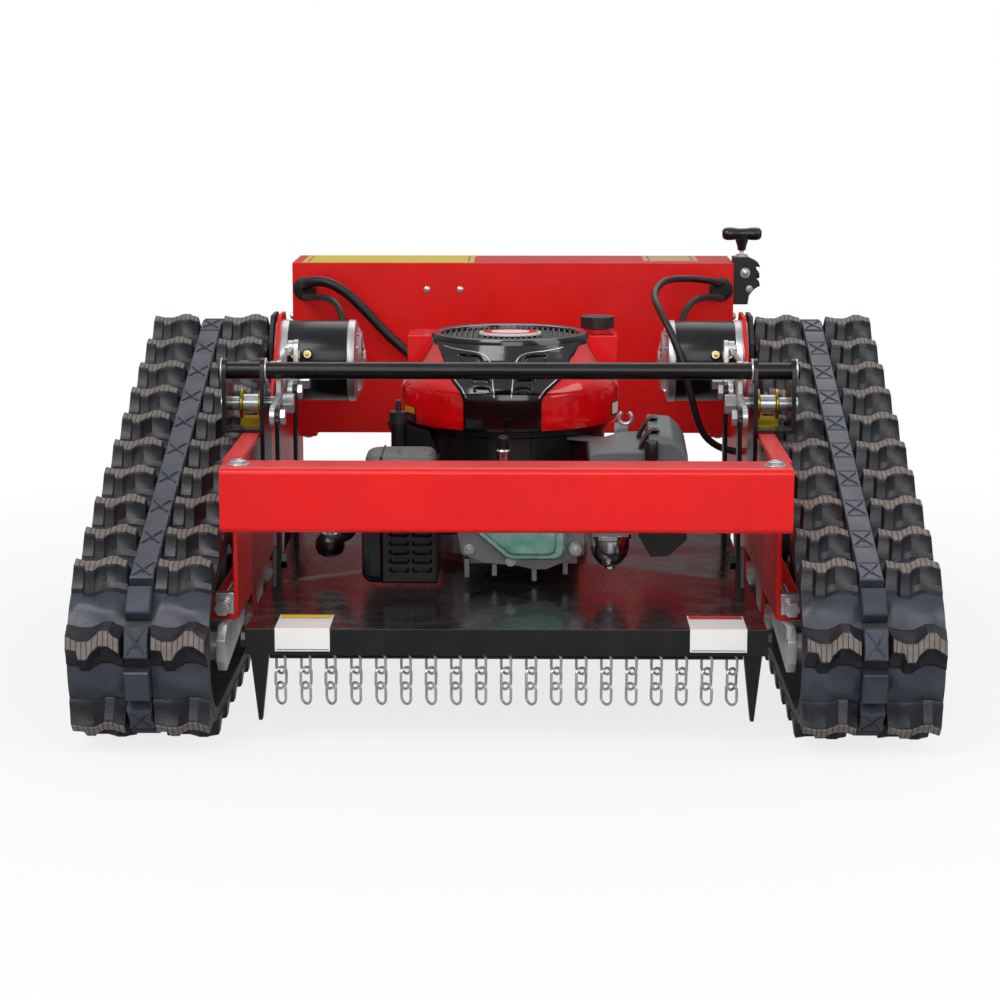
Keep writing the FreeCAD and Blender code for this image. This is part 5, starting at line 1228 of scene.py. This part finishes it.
    def screen(self, dresser: Dresser) -> None:
        """Builds the ribbed screen with its rim and blank badge.

        Args:
            dresser: What finishes it. A rib at x reaches as far as the root of radius squared
                less x squared.
        """
        skin = Skin()
        r, top = self.screen_radius, self.screen_top
        skin.lathe([(r - 6, top - 6), (r - 4, top + 0.5), (r + 1, top + 2.2), (r + 6, top + 1),
                    (r + 8.5, top - 4),
                    (r + 8, top - 13), (r - 2, top - 13), (r - 6, top - 6)], SHAFT, UP, 96)
        skin.lathe([(0, top - 7), (r - 4, top - 7), (r - 4, top - 4), (0, top - 4)], SHAFT, UP, 72, 1)
        x = np.linspace(-r + 8, r - 8, self.ribs)[:, None, None]
        y = np.sqrt((r - 5) ** 2 - x ** 2) * np.array([-1, 1])[None, :, None]
        section = table((-0.5, -1), (0.5, -1), (0.32, 1.6), (-0.32, 1.6))
        wide = x + self.rib_width * section[:, 0]
        tall = top - 3.5 + 1.5 * section[:, 1]
        skin.rings(places(wide, y, tall), 1)
        dresser.form("screen_ribs", skin, ("black_gloss", "black_plastic"), "deck", ("screen_cover",),
                     angle=35.0)
        badge = Skin()
        turn = full_turn(64)
        oval = np.column_stack([np.cos(turn), np.sin(turn)]) * self.badge
        for slot, share, low, high in ((1, 1.0, -2.0, 1.2), (0, 0.90, 1.0, 1.7), (1, 0.62, 1.6, 1.9)):
            badge.prism(oval * share, 2, top + low, top + high, slot)
        dresser.form("screen_badge", badge, ("red_gloss", "plate_white"), "deck", bevel_mm=0.4)


@dataclass(frozen=True)
class EngineFront:
    """What shows of the engine below the shroud: tray, plug, cover, carburetor, filter and silencer."""

    tray_radius: float = 116.0
    cover: tuple[float, float, float, float] = (-60.0, 88.0, 148.5, 232.0)
    cover_front: float = -226.0
    cover_field: tuple = ((-44, 204), (-36, 192), (-4, 164.5), (4, 161.5), (56, 161.5), (63, 165), (66, 174),
                          (66, 222),
                          (61, 229), (-38, 229), (-44, 222))
    carb: tuple[float, float] = (117.0, -222.0)
    plug: tuple[float, float, float] = (-6.0, -185.0, 225.0)
    filler: tuple[float, float, float] = (-132.0, -96.0, 8.0)
    ear: tuple[float, float, float] = (77.6, -222.0, 173.3)
    silencer: tuple[float, float, float, float] = (-166.0, -80.0, 142.0, 276.0)
    silencer_seam: float = -143.5
    slot_rows: tuple[float, float, int] = (157.5, 10.3, 5)
    slot_columns: tuple[float, float] = (-123.5, -97.5)
    knob: tuple[float, float] = (-211.0, -150.0)
    cover_steps: tuple = ((1.04, 13.2), (1.04, 10.8), (1.0, 10.4), (0.995, 4), (0.97, 1.4), (0.93, 0.2),
                          (0.80, 0), (0.77, -1.4), (0.73, -1.9), (0.5, -2.0))
    cover_ribs: tuple = ((-48, 138), (-16, 140), (30, 134), (66, 142))
    tray_ribs: tuple = (-150, -128, -104, -76, -52, -30, 20, 60, 100, 140, 180)
    bowl: tuple = ((0, 156), (9, 156), (13, 158.5), (19.5, 167), (22, 175), (22.3, 187), (24.5, 188),
                   (24.5, 193), (0, 193))
    filter_base: tuple = ((93, 286, 287), (101, 288, 289.5), (132, 289, 299), (161, 289, 300))
    filter_lid: tuple = ((160, 304, 319), (162, 306, 321), (187, 304, 319), (198, 296, 309), (205, 284, 296))
    strap: tuple = ((148, 299), (151, 306), (157, 316), (165, 323.5), (173, 322.5), (173, 319.5), (165, 320),
                    (159, 313), (153, 299))
    duct: tuple = ((152, 268), (206, 268), (205, 186), (184, 167), (164, 166), (150, 190))
    lobe: tuple = ((-147, 300), (-138, 308), (-131, 300), (-118, 295), (-96, 290), (-86, 262), (-86, 240),
                   (-118, 240), (-131, 262))
    knob_profile: tuple = ((0, 150.5), (9, 151.5), (14.5, 155), (17.5, 162), (17, 170), (13.5, 176), (8, 179),
                           (0, 180))

    def build(self, dresser: Dresser) -> None:
        """Builds the pieces.

        Args:
            dresser: What finishes them.
        """
        self.tray(dresser)
        self.valve_cover(dresser)
        self.small_parts(dresser)
        self.carburetor(dresser)
        self.filter_box(dresser)
        self.silencer_box(dresser)
        self.side_parts(dresser)

    def tray(self, dresser: Dresser) -> None:
        """Builds the black tray with its upright ribs.

        Args:
            dresser: What finishes it.
        """
        skin, r = Skin(), self.tray_radius
        skin.lathe([(r - 10, 238), (r - 2, 238.5), (r, 241), (r, 286), (r + 3, 288), (r + 3, 295.5),
                    (r - 4, 295.5),
                    (r - 4, 242), (r - 10, 242), (r - 10, 238)], SHAFT, UP, 96)
        skin.lathe([(14, 238.5), (r - 6, 238.5), (r - 6, 241.5), (14, 241.5), (14, 238.5)], SHAFT, UP, 72)
        angle = np.radians(self.tray_ribs)[:, None, None]
        section = table((-0.016, r - 1), (-0.012, r + 2.4), (0.012, r + 2.4), (0.016, r - 1))
        reach, turn = section[:, 1], angle + section[:, 0]
        z = np.array([243.0, 286.0])[None, :, None]
        skin.rings(places(reach * np.cos(turn), reach * np.sin(turn), z))
        dresser.form("fan_tray", skin, ("black_satin",), "deck", ("fan_base",), angle=35.0)

    def valve_cover(self, dresser: Dresser) -> None:
        """Builds the cast cover with its raised blank field and four bolts.

        Args:
            dresser: What finishes it.
        """
        skin = Skin()
        x0, x1, z0, z1 = self.cover
        y = self.cover_front
        flange = ((x0, 196), (-54, 166), (-30, 156), (8, 153), (28, z0), (44, z0), (64, 157), (x1, 166),
                  (x1, 224),
                  (x1 - 8, z1), (x0 + 8, z1), (x0, 224))
        skin.prism(flange, 1, y + 13, y + 29.8, 1)
        raised = table(*self.cover_field)
        middle = raised.mean(axis=0)
        skin.rings(np.stack([np.insert(middle + (raised - middle) * share, 1, y + deep, axis=1)
                             for share, deep in self.cover_steps]))
        for x, low in self.cover_ribs:
            skin.block((x - 3, y + 16, low), (x + 3, y + 29, 160), 1)
        skin.lathe([(0, 0), (8.5, 0), (9, 1), (9, 13), (0, 13)], self.ear, BACK, 32, 1)
        dresser.form("valve_cover_cast", skin, ("cover_alloy", "cast_alloy"), "deck", ("valve_cover",),
                     bevel_mm=1.2, angle=20.0)
        bolts = Skin()
        spots = [(x, y + 12, z) for x, z in ((-45, 172), (3, 158.5), (-48, 214), (x1 - 9, 214))]
        bolts.hexagon(spots + [self.ear], FRONT, 4.6, 6.0)
        dresser.form("valve_cover_bolts", bolts, ("zinc_steel",), "deck", bevel_mm=0.3)

    def small_parts(self, dresser: Dresser) -> None:
        """Builds the spark plug with its cap, and the throttle's cable ring.

        Args:
            dresser: What finishes them.
        """
        plug = Skin()
        out = (0.0, -0.5, math.sqrt(0.75))
        plug.lathe([(5.5, 2), (5.5, 14), (5.5, 26)], self.plug, out, 20)
        plug.lathe([(9.5, 12), (9.5, 20), (8, 21), (0, 21)], self.plug, out, 6)
        plug.lathe([(7, 24), (11, 26), (11, 49), (10, 51.5), (0, 51.5)], self.plug, out, 32)
        x, y = self.plug[:2]
        plug.lathe([(0, 262), (6, 262), (8, 264), (8.3, 286), (7, 288), (0, 288)], (x, y - 20, 0), UP, 32)
        plug.lathe([(0, 287), (6.2, 287), (7.4, 292), (6.6, 301), (4, 304), (0, 304.5)], (x, y - 20, 0), UP,
                   32, 1)
        dresser.form("plug_cap", plug, ("bright_metal_and_highlight", "black_satin"), "deck", ("spark_plug",), bevel_mm=0.4)
        ring = Skin()
        turn = np.linspace(np.radians(120), np.radians(420), 30)
        path = np.column_stack([137 + 7.5 * np.cos(turn), np.full(30, -124.5), 313 + 7.5 * np.sin(turn)])
        ring.tube(path, 2.4, 10, upright=(0, 1, 0))
        dresser.form("throttle_ring", ring, ("zinc_steel",), "throttle_lever", angle=50.0)

    def carburetor(self, dresser: Dresser) -> None:
        """Builds the carburetor: bright float bowl with its drain, body, throat and riser.

        Args:
            dresser: What finishes it.
        """
        skin = Skin()
        x, y = self.carb
        skin.lathe(self.bowl, (x, y, 0), UP, 56)
        skin.hexagon((x, y, 156.5), DOWN, 6, 6.5, 0)
        skin.hexagon((x - 2, y - 13, 163), (0, -0.8, -0.6), 5.5, 7, 0)
        skin.block((x - 21, y - 19, 192), (x + 21, y + 21, 229), 1)
        skin.lathe([(0, 0), (13, 0), (14, 1), (14, 3), (0, 3)], (x, y - 20.5, 211), BACK, 36, 0)
        skin.lathe([(0, 228), (16.5, 228), (16.5, 231), (15.7, 232), (15.7, 268.5), (0, 268.5)], (x, y, 0),
                   UP,
                   40, 1)
        skin.lathe([(0, -201.5), (10.5, -201.5), (10.5, -82.5), (0, -82.5)], (x - 21, 0, 208), BACK, 32, 1)
        skin.block((80.5, -124, 197.5), (x - 10.5, -103, 218.5), 1)
        dresser.form("carburetor_body", skin, ("bright_metal_and_highlight", "cast_alloy"), "deck", ("carburetor",),
                     bevel_mm=0.8)

    def filter_box(self, dresser: Dresser) -> None:
        """Builds the air filter: sloped low side, rounded lid, two straps, a knob and the duct below.

        Args:
            dresser: What finishes it. Both halves are outlines in Y and Z that change along X.
        """
        skin = Skin()
        skin.rings(np.array([[(x, -236, 268), (x, -140, 268), (x, -140, rear), (x, -232, front + 0.5),
                              (x, -236, front)]
                             for x, front, rear in self.filter_base]))
        skin.rings(np.array([[(x, -235, 268), (x, -141, 268), (x, -141, rear - 6), (x, -148, rear),
                              (x, -228, front + 1), (x, -235, front - 5)]
                             for x, front, rear in self.filter_lid]))
        skin.block((92.5, -141, 268), (108, -77.5, 280))
        for y in (-165, -212):
            skin.prism(table(*self.strap) + (0, (y + 150) * 0.16), 1, y - 9, y + 9, 1)
        skin.lathe([(0, 281), (7.6, 281), (7.8, 283), (7.8, 300), (6.6, 303.5), (0, 304)], (163, -239, 0), UP,
                   32, 1)
        skin.prism(self.duct, 1, -226, -160, 1)
        dresser.form("filter_box", skin, ("grey_plastic", "black_satin"), "deck", ("air_filter",),
                     bevel_mm=1.6,
                     angle=24.0)

    def silencer_box(self, dresser: Dresser) -> None:
        """Builds the silencer: plain rounded part, seam, slotted front, grey lid and pipe.

        Args:
            dresser: What finishes it. The slotted front is a grid whose Y sinks by 8 mm inside
                each rounded slot.
        """
        skin = Skin()
        x0, x1, z0, z1 = self.silencer
        seam, y0, y1 = self.silencer_seam, -262.0, -164.0
        turn = np.radians(np.linspace(180, 270, 8))
        round_low = np.column_stack([x0 + 12 + 12 * np.cos(turn), z0 + 12 + 12 * np.sin(turn)])
        round_high = np.column_stack([x0 + 12 + 12 * np.cos(turn[::-1]), z1 - 12 - 12 * np.sin(turn[::-1])])
        outline = np.vstack([round_low, [(seam, z0), (seam, z1)], round_high])
        middle = np.array([(x0 + seam) / 2, (z0 + z1) / 2])
        rings = [np.insert(middle + (outline - middle) * share, 1, y, axis=1)
                 for y, share in ((y0, 0.86), (y0 + 1.5, 0.96), (y0 + 4, 1), (y1 - 3, 1), (y1, 0.96))]
        skin.rings(np.stack(rings))
        skin.block((seam, y0 + 10, z0), (x1, y1, z1))
        across = np.linspace(seam + 0.4, x1, 130)[None]
        up = np.linspace(z0, z1, 200)[:, None]
        start, step, count = self.slot_rows
        sunk = np.zeros((200, 130))
        for column in self.slot_columns:
            for level in start + step * np.arange(count):
                sunk = np.maximum(sunk, recess(across, up, (column, level), (10.9, 3.1)))
        inside = np.minimum(across - seam, x1 - across)
        edge = step_up(inside, 0, 2.0) * step_up(np.minimum(up - z0, z1 - up), 0, 2.0)
        depth = y0 - 1.5 * edge + 8.0 * sunk
        skin.slab(places(across, depth, up), places(across, np.full_like(depth, y0 + 10.5), up))
        skin.lathe([(0, 0), (10.5, 0), (10.5, 28.2), (0, 28.2)], (x1, -170.5, 192), (1, 0, 0), 32)
        corner = np.radians(np.linspace(0, 360, 48, endpoint=False))
        square = np.column_stack([np.sign(np.cos(corner)) * np.abs(np.cos(corner)) ** 0.45,
                                  np.sign(np.sin(corner)) * np.abs(np.sin(corner)) ** 0.45])
        levels = ((0, 0), (5.5, 0), (8.5, 1.2), (10.3, 4), (11, 8))
        for x, half_x, half_y, base, share in ((-123, 40, 44, z1 - 0.5, 1), (-106, 20, 30, z1 + 9, 0.3)):
            lid = [places(x + square[:, 0] * (half_x - inset), -213 + square[:, 1] * (half_y - inset),
                          base + rise * share) for rise, inset in levels]
            skin.rings(np.stack(lid), 1)
        skin.block((-144.5, -257.2, z1), (-142.5, -169, z1 + 10.9))
        dresser.form("silencer_box", skin, ("black_satin", "grey_plastic"), "deck", ("muffler",), angle=40.0)

    def side_parts(self, dresser: Dresser) -> None:
        """Builds the black lobe beside the tray, the sleeve of the filler and the hanging knob.

        Args:
            dresser: What finishes them.
        """
        skin = Skin()
        skin.prism(self.lobe, 1, -78, -40)
        x, y, radius = self.filler
        skin.lathe([(radius, 236), (radius + 2, 237), (radius + 1, 250), (radius + 1, 302), (radius, 303),
                    (radius, 236)],
                   (x, y, 0), UP, 32)
        x, y = self.knob
        skin.lathe(self.knob_profile, (x, y, 0), UP, 40)
        arm = flowing([(x + 6, y, 172), (x + 22, y - 3, 176), (x + 30, y - 12, 192), (x + 47, y - 17, 196)])
        skin.tube(arm, 6.5, 20, upright=(0, 1, 0))
        skin.hexagon([(x - 6, y - 2, 178.5), (x + 7, y - 2, 178)], UP, 4.5, 6, 1)
        dresser.form("engine_side_parts", skin, ("black_satin", "bright_metal_and_highlight"), "deck", bevel_mm=0.6)


@dataclass(frozen=True)
class Motors:
    """The two drive motors: black can, bright end rings, ribbed cap and two terminals."""

    axis: tuple[float, float] = (205.0, 341.0)
    radius: float = 53.0
    flange_x: float = 306.0
    ring_length: float = 18.0
    can_length: float = 76.0
    terminal_turn: float = math.radians(15.0)
    terminal_inset: float = 9.0
    terminal_step: float = 17.0
    cap_ribs: int = 12

    def build(self, dresser: Dresser) -> None:
        """Builds both motors.

        Args:
            dresser: What finishes them.
        """
        skin, r = Skin(), self.radius
        y, z = self.axis
        for side in (-1, 1):
            place = (side * self.flange_x, y, z)
            inward = (-side, 0, 0)
            a, b = self.ring_length, self.ring_length + self.can_length
            skin.lathe([(0, 0), (r - 1.5, 0), (r, 1.5), (r, a - 2), (r - 0.6, a - 0.5), (r - 2, a), (0, a)],
                       place,
                       inward, 72, 0)
            skin.lathe([(0, a), (r - 1.4, a), (r - 1, a + 1), (r - 1, b - 1), (r - 1.4, b), (0, b)], place,
                       inward,
                       72, 1)
            skin.lathe([(0, b), (r - 1, b), (r, b + 1), (r, b + 7), (r - 1, b + 9.5), (r - 4, b + 11),
                        (r - 9, b + 11.3),
                        (r - 12, b + 13), (r - 16, b + 17.5), (r - 22, b + 18), (18, b + 18), (15, b + 20),
                        (14, b + 21.8), (0, b + 21.8)], place, inward, 72, 0)
            turn = full_turn(self.cap_ribs)[:, None, None]
            reach = np.array([17.0, r - 10])[None, :, None]
            wide = np.array([-1.4, -0.7, 0.7, 1.4])
            deep = b + np.array([[16.5, 20.0, 20.0, 16.5], [10.0, 14.0, 14.0, 10.0]])[None]
            x = side * self.flange_x - side * deep
            skin.rings(places(x, y + reach * np.cos(turn) - wide * np.sin(turn),
                              z + reach * np.sin(turn) + wide * np.cos(turn)))
            out = np.array((0.0, -math.cos(self.terminal_turn), math.sin(self.terminal_turn)))
            for k in (0, 1):
                x = side * (self.flange_x - a - self.terminal_inset - self.terminal_step * k)
                spot = np.array([x, y, z]) + out * (r - 3)
                skin.lathe([(7, 0), (7, 4.5), (6, 5), (0, 5)], spot, out, 24, 1)
                skin.hexagon(spot + out * 5, out, 3.6, 5.0, 2)
                skin.lathe([(2, 0), (2, 4.4), (1.4, 5), (0, 5)], spot + out * 9.6, out, 16, 2)
        dresser.form("drive_motors", skin, ("motor_silver", "black_paint", "brass_zinc"), "root",
                     ("motor_cans", "motor_end_shields"), angle=30.0)


@dataclass(frozen=True)
class Hardware:
    """Bolts, nuts, washers, clevises, rivets and the recoil starter's handle."""

    pivot: tuple[float, float] = (-120.0, 329.0)
    bar: tuple[float, float] = (-165.0, 373.5)
    plate_out: float = 332.0
    plate_in: float = 283.0
    beam_bolt: tuple[float, float, float] = (287.0, -412.0, 303.0)
    box_bolt: tuple[float, float, float] = (283.0, 393.0, 217.0)
    rivets: tuple = ((-117, 365, 419), (-72, 365, 419))
    side_bolt: tuple[float, float, float] = (300.0, 384.0, 381.0)
    rope: tuple[float, float] = (312.333, 392.0)
    grip_z: float = 493.0
    grip: tuple = ((0, -27), (4.5, -26.6), (7.4, -24.5), (8.8, -20), (8.6, -12), (7.6, -6), (7.4, 0),
                   (7.6, 6),
                   (8.6, 12), (8.8, 20), (7.4, 24.5), (4.5, 26.6), (0, 27))
    stem: tuple = ((0, 0), (9.5, 0), (8.5, -10), (6.5, -16), (5.4, -22), (5.2, -22.4), (0, -22.4))

    def build(self, dresser: Dresser) -> None:
        """Builds the small metal parts and the handle.

        Args:
            dresser: What finishes them.
        """
        bolts = Skin()
        x, y, z = self.beam_bolt
        bolts.hexagon([(-x, y, z), (x, y, z)], UP, 9, 6)
        x, y, z = self.box_bolt
        bolts.hexagon([(-x, y, z), (x, y, z)], DOWN, 9, 6)
        bolts.lathe([(0, 0), (4.6, 0), (4.4, 1), (3.2, 1.9), (0, 2.3)], self.rivets, FRONT, 20)
        x, y, z = self.side_bolt
        for side in (-1, 1):
            bolts.hexagon((side * x, y, z), (side, 0, 0), 5.5, 5.5)
        dresser.form("frame_bolts", bolts, ("zinc_steel",), "root", ("frame_fasteners",), bevel_mm=0.3)
        self.pivots(dresser)
        self.handle(dresser)

    def pivots(self, dresser: Dresser) -> None:
        """Builds the bright and yellow pieces round the front pivots, and the bar's end caps.

        Args:
            dresser: What finishes them.
        """
        skin = Skin()
        y, z = self.pivot
        for side in (-1, 1):
            out = (side, 0, 0)
            skin.lathe([(8.2, 0), (11, 0), (11, 27), (8.2, 27), (8.2, 0)], (side * 289.5, y, z), out, 32, 0)
            for start, wide in ((291, 4.0), (313, 4.0)):
                skin.lathe([(11.2, 0), (17, 0), (18, 1), (18, wide - 1), (17, wide), (11.2, wide), (11.2, 0)],
                           (side * start, y, z), out, 36, 1)
            skin.hexagon((side * self.plate_out, y, z), out, 11, 7.6, 0)
            skin.block((min(side * 291, side * 317), y - 6, z - 30),
                       (max(side * 291, side * 317), y + 6, z - 15), 1)
            b_y, b_z = self.bar
            for start in (self.plate_in - 2.2, self.plate_out + 0.1):
                skin.lathe([(10.1, 0), (14.5, 0), (14.8, 1), (14.5, 2), (10.1, 2), (10.1, 0)],
                           (side * start, b_y, b_z), out, 36, 0)
            skin.lathe([(0, 0), (8.6, 0), (8, 1.6), (0, 2.0)], (side * 334.9, b_y, b_z), out, 32, 2)
        dresser.form("pivot_hardware", skin, ("zinc_steel", "yellow_zinc", "black_paint"), "root",
                     bevel_mm=0.3)

    def handle(self, dresser: Dresser) -> None:
        """Builds the T handle and the guide's round parts.

        Args:
            dresser: What finishes them.
        """
        skin = Skin()
        x, y = self.rope
        skin.lathe(self.grip, (x, y, self.grip_z), (1, 0, 0), 28)
        skin.lathe(self.stem, (x, y, self.grip_z), UP, 28)
        dresser.form("pull_grip", skin, ("black_satin",), "starter_handle", ("starter_handle",), angle=45.0)
        guide = Skin()
        guide.lathe([(0, 0), (15.5, 0), (16.5, 1.5), (16.5, 14), (14, 17), (0, 17)], (x + 4, y - 16.6, 441),
                    (0, 1, 0), 32)
        guide.hexagon((x + 4, y - 16.6, 441), FRONT, 5.0, 4.5, 1)
        guide.lathe([(4, 0), (9, 0), (9.5, 1), (7, 4), (4, 4.4), (4, 0)], (x, y, 461.5), UP, 28, 1)
        guide.lathe([(0, 0), (5.4, 0), (4.6, 1.8), (0, 2.4)], (x + 10, y - 16, 419), FRONT, 24, 1)
        dresser.form("guide_parts", guide, ("black_satin", "zinc_steel"), "root", bevel_mm=0.4)


@dataclass(frozen=True)
class Plates:
    """The plain strips on the box and the two bare plates on the deck's front edge."""

    box_top: float = 455.0
    strip: tuple[float, float, float, float] = (-287.0, -53.0, 370.0, 484.0)
    tag: tuple[float, float, float, float] = (179.0, 254.0, 400.0, 484.0)
    plate_low: float = 104.5
    deck_top: float = 129.0
    deck_front: float = -440.0
    plate_rear: float = -374.0
    plates: tuple = ((-248.0, -189.0, 2), (197.0, 258.0, 3))

    def build(self, dresser: Dresser) -> None:
        """Builds the strips and plates.

        Args:
            dresser: What finishes them.
        """
        skin = Skin()
        for (x0, x1, y0, y1), slot in ((self.strip, 0), (self.tag, 1)):
            skin.block((x0, y0, self.box_top + 0.05), (x1, y1, self.box_top + 0.5), slot)
            for line in (x0 + 7, x1 - 8.5):
                skin.block((line, y0 + 3, self.box_top + 0.4), (line + 1.5, y1 - 3, self.box_top + 0.7), 2)
        dresser.form("box_strips", skin, ("strip_yellow", "tag_tan", "black_satin"), "root", bevel_mm=0.1)
        plates = Skin()
        y, low, top, rear = self.deck_front, self.plate_low, self.deck_top, self.plate_rear
        for x0, x1, slot in self.plates:
            outline = [(y - 0.9, low), (y - 0.1, low), (y - 0.1, top + 0.1), (rear, top + 0.1),
                       (rear, top + 0.9),
                       (y - 0.9, top + 0.9)]
            plates.prism(outline, 0, x0, x1, 0)
            plates.block((x0 + 1.5, rear - 15, top + 0.8), (x1 - 1.5, rear - 1.5, top + 1.3), slot)
            plates.block((x0 + 1.5, rear - 17.5, top + 0.8), (x1 - 1.5, rear - 16, top + 1.2), 1)
            plates.block((x0 + 1.5, y - 1.2, low + 1.5), (x1 - 1.5, y - 0.8, low + 2.3), 1)
        dresser.form("deck_plates", plates, ("plate_white", "black_satin", "strip_yellow", "plate_red"),
                     "deck",
                     bevel_mm=0.15)


@dataclass
class Studio:
    """The camera, the pale floor and the soft lamps."""

    camera_place: tuple[float, float, float] = (0.030, -3.115, 0.740)
    pitch_down: float = 9.97
    yaw: float = 0.78
    lens_mm: float = 92.16
    sensor_mm: float = 36.0
    far_end: float = 50.0
    floor_radius: float = 9.0
    floor_sides: int = 96
    floor_colour: str = "E6E6E6"
    floor_in_mirrors: float = 0.28
    world_light: float = 0.42
    aim: tuple[float, float, float] = (0.0, 0.0, 0.2)
    lamps: tuple = (("key", (-1.6, -2.6, 3.2), 2.0, 64.0), ("side", (2.8, -1.6, 2.0), 2.2, 34.0),
                    ("back", (0.4, 2.6, 3.0), 2.6, 26.0), ("front", (0.2, -3.4, 1.7), 1.8, 26.0))

    def build(self) -> None:
        """Builds the camera, floor, world and lamps."""
        self.camera()
        self.floor()
        self.world()
        for lamp in self.lamps:
            self.lamp(*lamp)

    def camera(self) -> None:
        """Sets the camera at the photograph's viewing angle."""
        data = bpy.data.cameras.new("camera")
        data.lens, data.sensor_width = self.lens_mm, self.sensor_mm
        data.clip_end = self.far_end
        camera = bpy.data.objects.new("camera", data)
        camera.location = self.camera_place
        camera.rotation_euler = (math.radians(90 - self.pitch_down), 0.0, math.radians(self.yaw))
        bpy.context.scene.collection.objects.link(camera)
        bpy.context.scene.camera = camera

    @staticmethod
    def rays(tree: Tree) -> tuple[bpy.types.NodeSocket, bpy.types.NodeSocket]:
        """Tells which rays look at the background.

        Args:
            tree: The tree of the floor or the world.

        Returns:
            Two sockets: 1 for what the camera sees directly or through glass, and 1 for what a
            mirror sees.
        """
        rays = tree.add("LightPath").outputs
        return tree.math("MAXIMUM", rays["Is Camera Ray"], rays["Is Transmission Ray"]), rays["Is Glossy Ray"]

    def floor(self) -> None:
        """Lays a round pale floor. Each rim point is the radius times the cosine and sine of its angle."""
        turn = full_turn(self.floor_sides)
        rim = places(np.cos(turn), np.sin(turn), 0.0) * self.floor_radius
        mesh = bpy.data.meshes.new("floor")
        mesh.from_pydata(rim.tolist(), [], [list(range(self.floor_sides))])
        material = bpy.data.materials.new("floor_white")
        material.use_nodes = True
        tree = Tree(material.node_tree)
        plain = tree.add("BsdfDiffuse", {"Color": linear(self.floor_colour)})
        glow = tree.add("Emission", {"Color": WHITE, "Strength": 1.0})
        seen, mirrored = self.rays(tree)
        far = tree.add("VectorMath", {0: tree.place()}, operation="LENGTH").outputs["Value"]
        share = tree.math("MULTIPLY", seen, tree.spread(far, 0.55, 1.5, 0.80, 1.0))
        both = tree.add("MixShader", {0: share, 1: plain.outputs[0], 2: glow.outputs[0]})
        dim = tree.add("Emission", {"Color": WHITE, "Strength": self.floor_in_mirrors})
        both = tree.add("MixShader", {0: mirrored, 1: both.outputs[0], 2: dim.outputs[0]})
        tree.add("OutputMaterial", {"Surface": both.outputs[0]})
        mesh.materials.append(material)
        floor = bpy.data.objects.new("floor", mesh)
        bpy.context.scene.collection.objects.link(floor)

    def world(self) -> None:
        """Makes the surroundings: white to the camera, soft grey as light, dim low down in mirrors."""
        world = bpy.data.worlds.new("surroundings")
        world.use_nodes = True
        tree = Tree(world.node_tree)
        light = tree.add("Background", {"Color": WHITE, "Strength": self.world_light})
        white = tree.add("Background", {"Color": WHITE, "Strength": 1.0})
        seen, mirrored = self.rays(tree)
        both = tree.add("MixShader", {0: seen, 1: light.outputs[0], 2: white.outputs[0]})
        up = tree.add("SeparateXYZ", {0: tree.add("TexCoord").outputs["Generated"]}).outputs["Z"]
        sky = tree.add("Background", {"Color": WHITE, "Strength": tree.spread(up, 0.05, 0.7, 0.16, 0.55)})
        both = tree.add("MixShader", {0: mirrored, 1: both.outputs[0], 2: sky.outputs[0]})
        tree.add("OutputWorld", {"Surface": both.outputs[0]})
        bpy.context.scene.world = world

    def lamp(self, name: str, place: tuple[float, float, float], size: float, power: float) -> None:
        """Hangs one soft lamp that looks at the middle of the mower.

        Args:
            name: The lamp's name.
            place: Where it hangs, in metres.
            size: The side of its square face, in metres.
            power: Its power in watts.
        """
        data = bpy.data.lights.new(name, "AREA")
        data.energy, data.size = power, size
        lamp = bpy.data.objects.new(name, data)
        aim = np.array(self.aim) - np.array(place)
        flat = math.hypot(aim[0], aim[1])
        lamp.location = place
        lamp.rotation_euler = (math.atan2(flat, -aim[2]), 0.0, math.atan2(aim[1], aim[0]) - math.pi / 2)
        bpy.context.scene.collection.objects.link(lamp)


def main() -> None:
    """Builds the mower's pieces around the frame."""
    logging.basicConfig(level=logging.INFO, format="%(message)s")
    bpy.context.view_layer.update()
    scene = bpy.context.scene
    scene.view_settings.view_transform = "Standard"
    Studio().build()
    slots = {part["node"]: part["material_slot"] for part in frame["record"]["subparts"]}
    bodies = {node: body for body, nodes in frame["record"]["behaviour"]["bodies"].items() for node in nodes}
    dresser = Dresser(Effects(), slots, bodies)
    for assembly in (Tracks(), Curtain(), Wiring(), Shroud(), EngineFront(), Motors(), Hardware(), Plates()):
        log.info("building %s", type(assembly).__name__)
        assembly.build(dresser)
    rope = frame["nodes"]["starter_rope"].data.materials
    rope.clear()
    rope.append(dresser.material("rope_white"))
    for node in slots:
        if node not in dresser.done and node != "starter_rope":
            dresser.node(node)


if __name__ == "__main__":
    main()
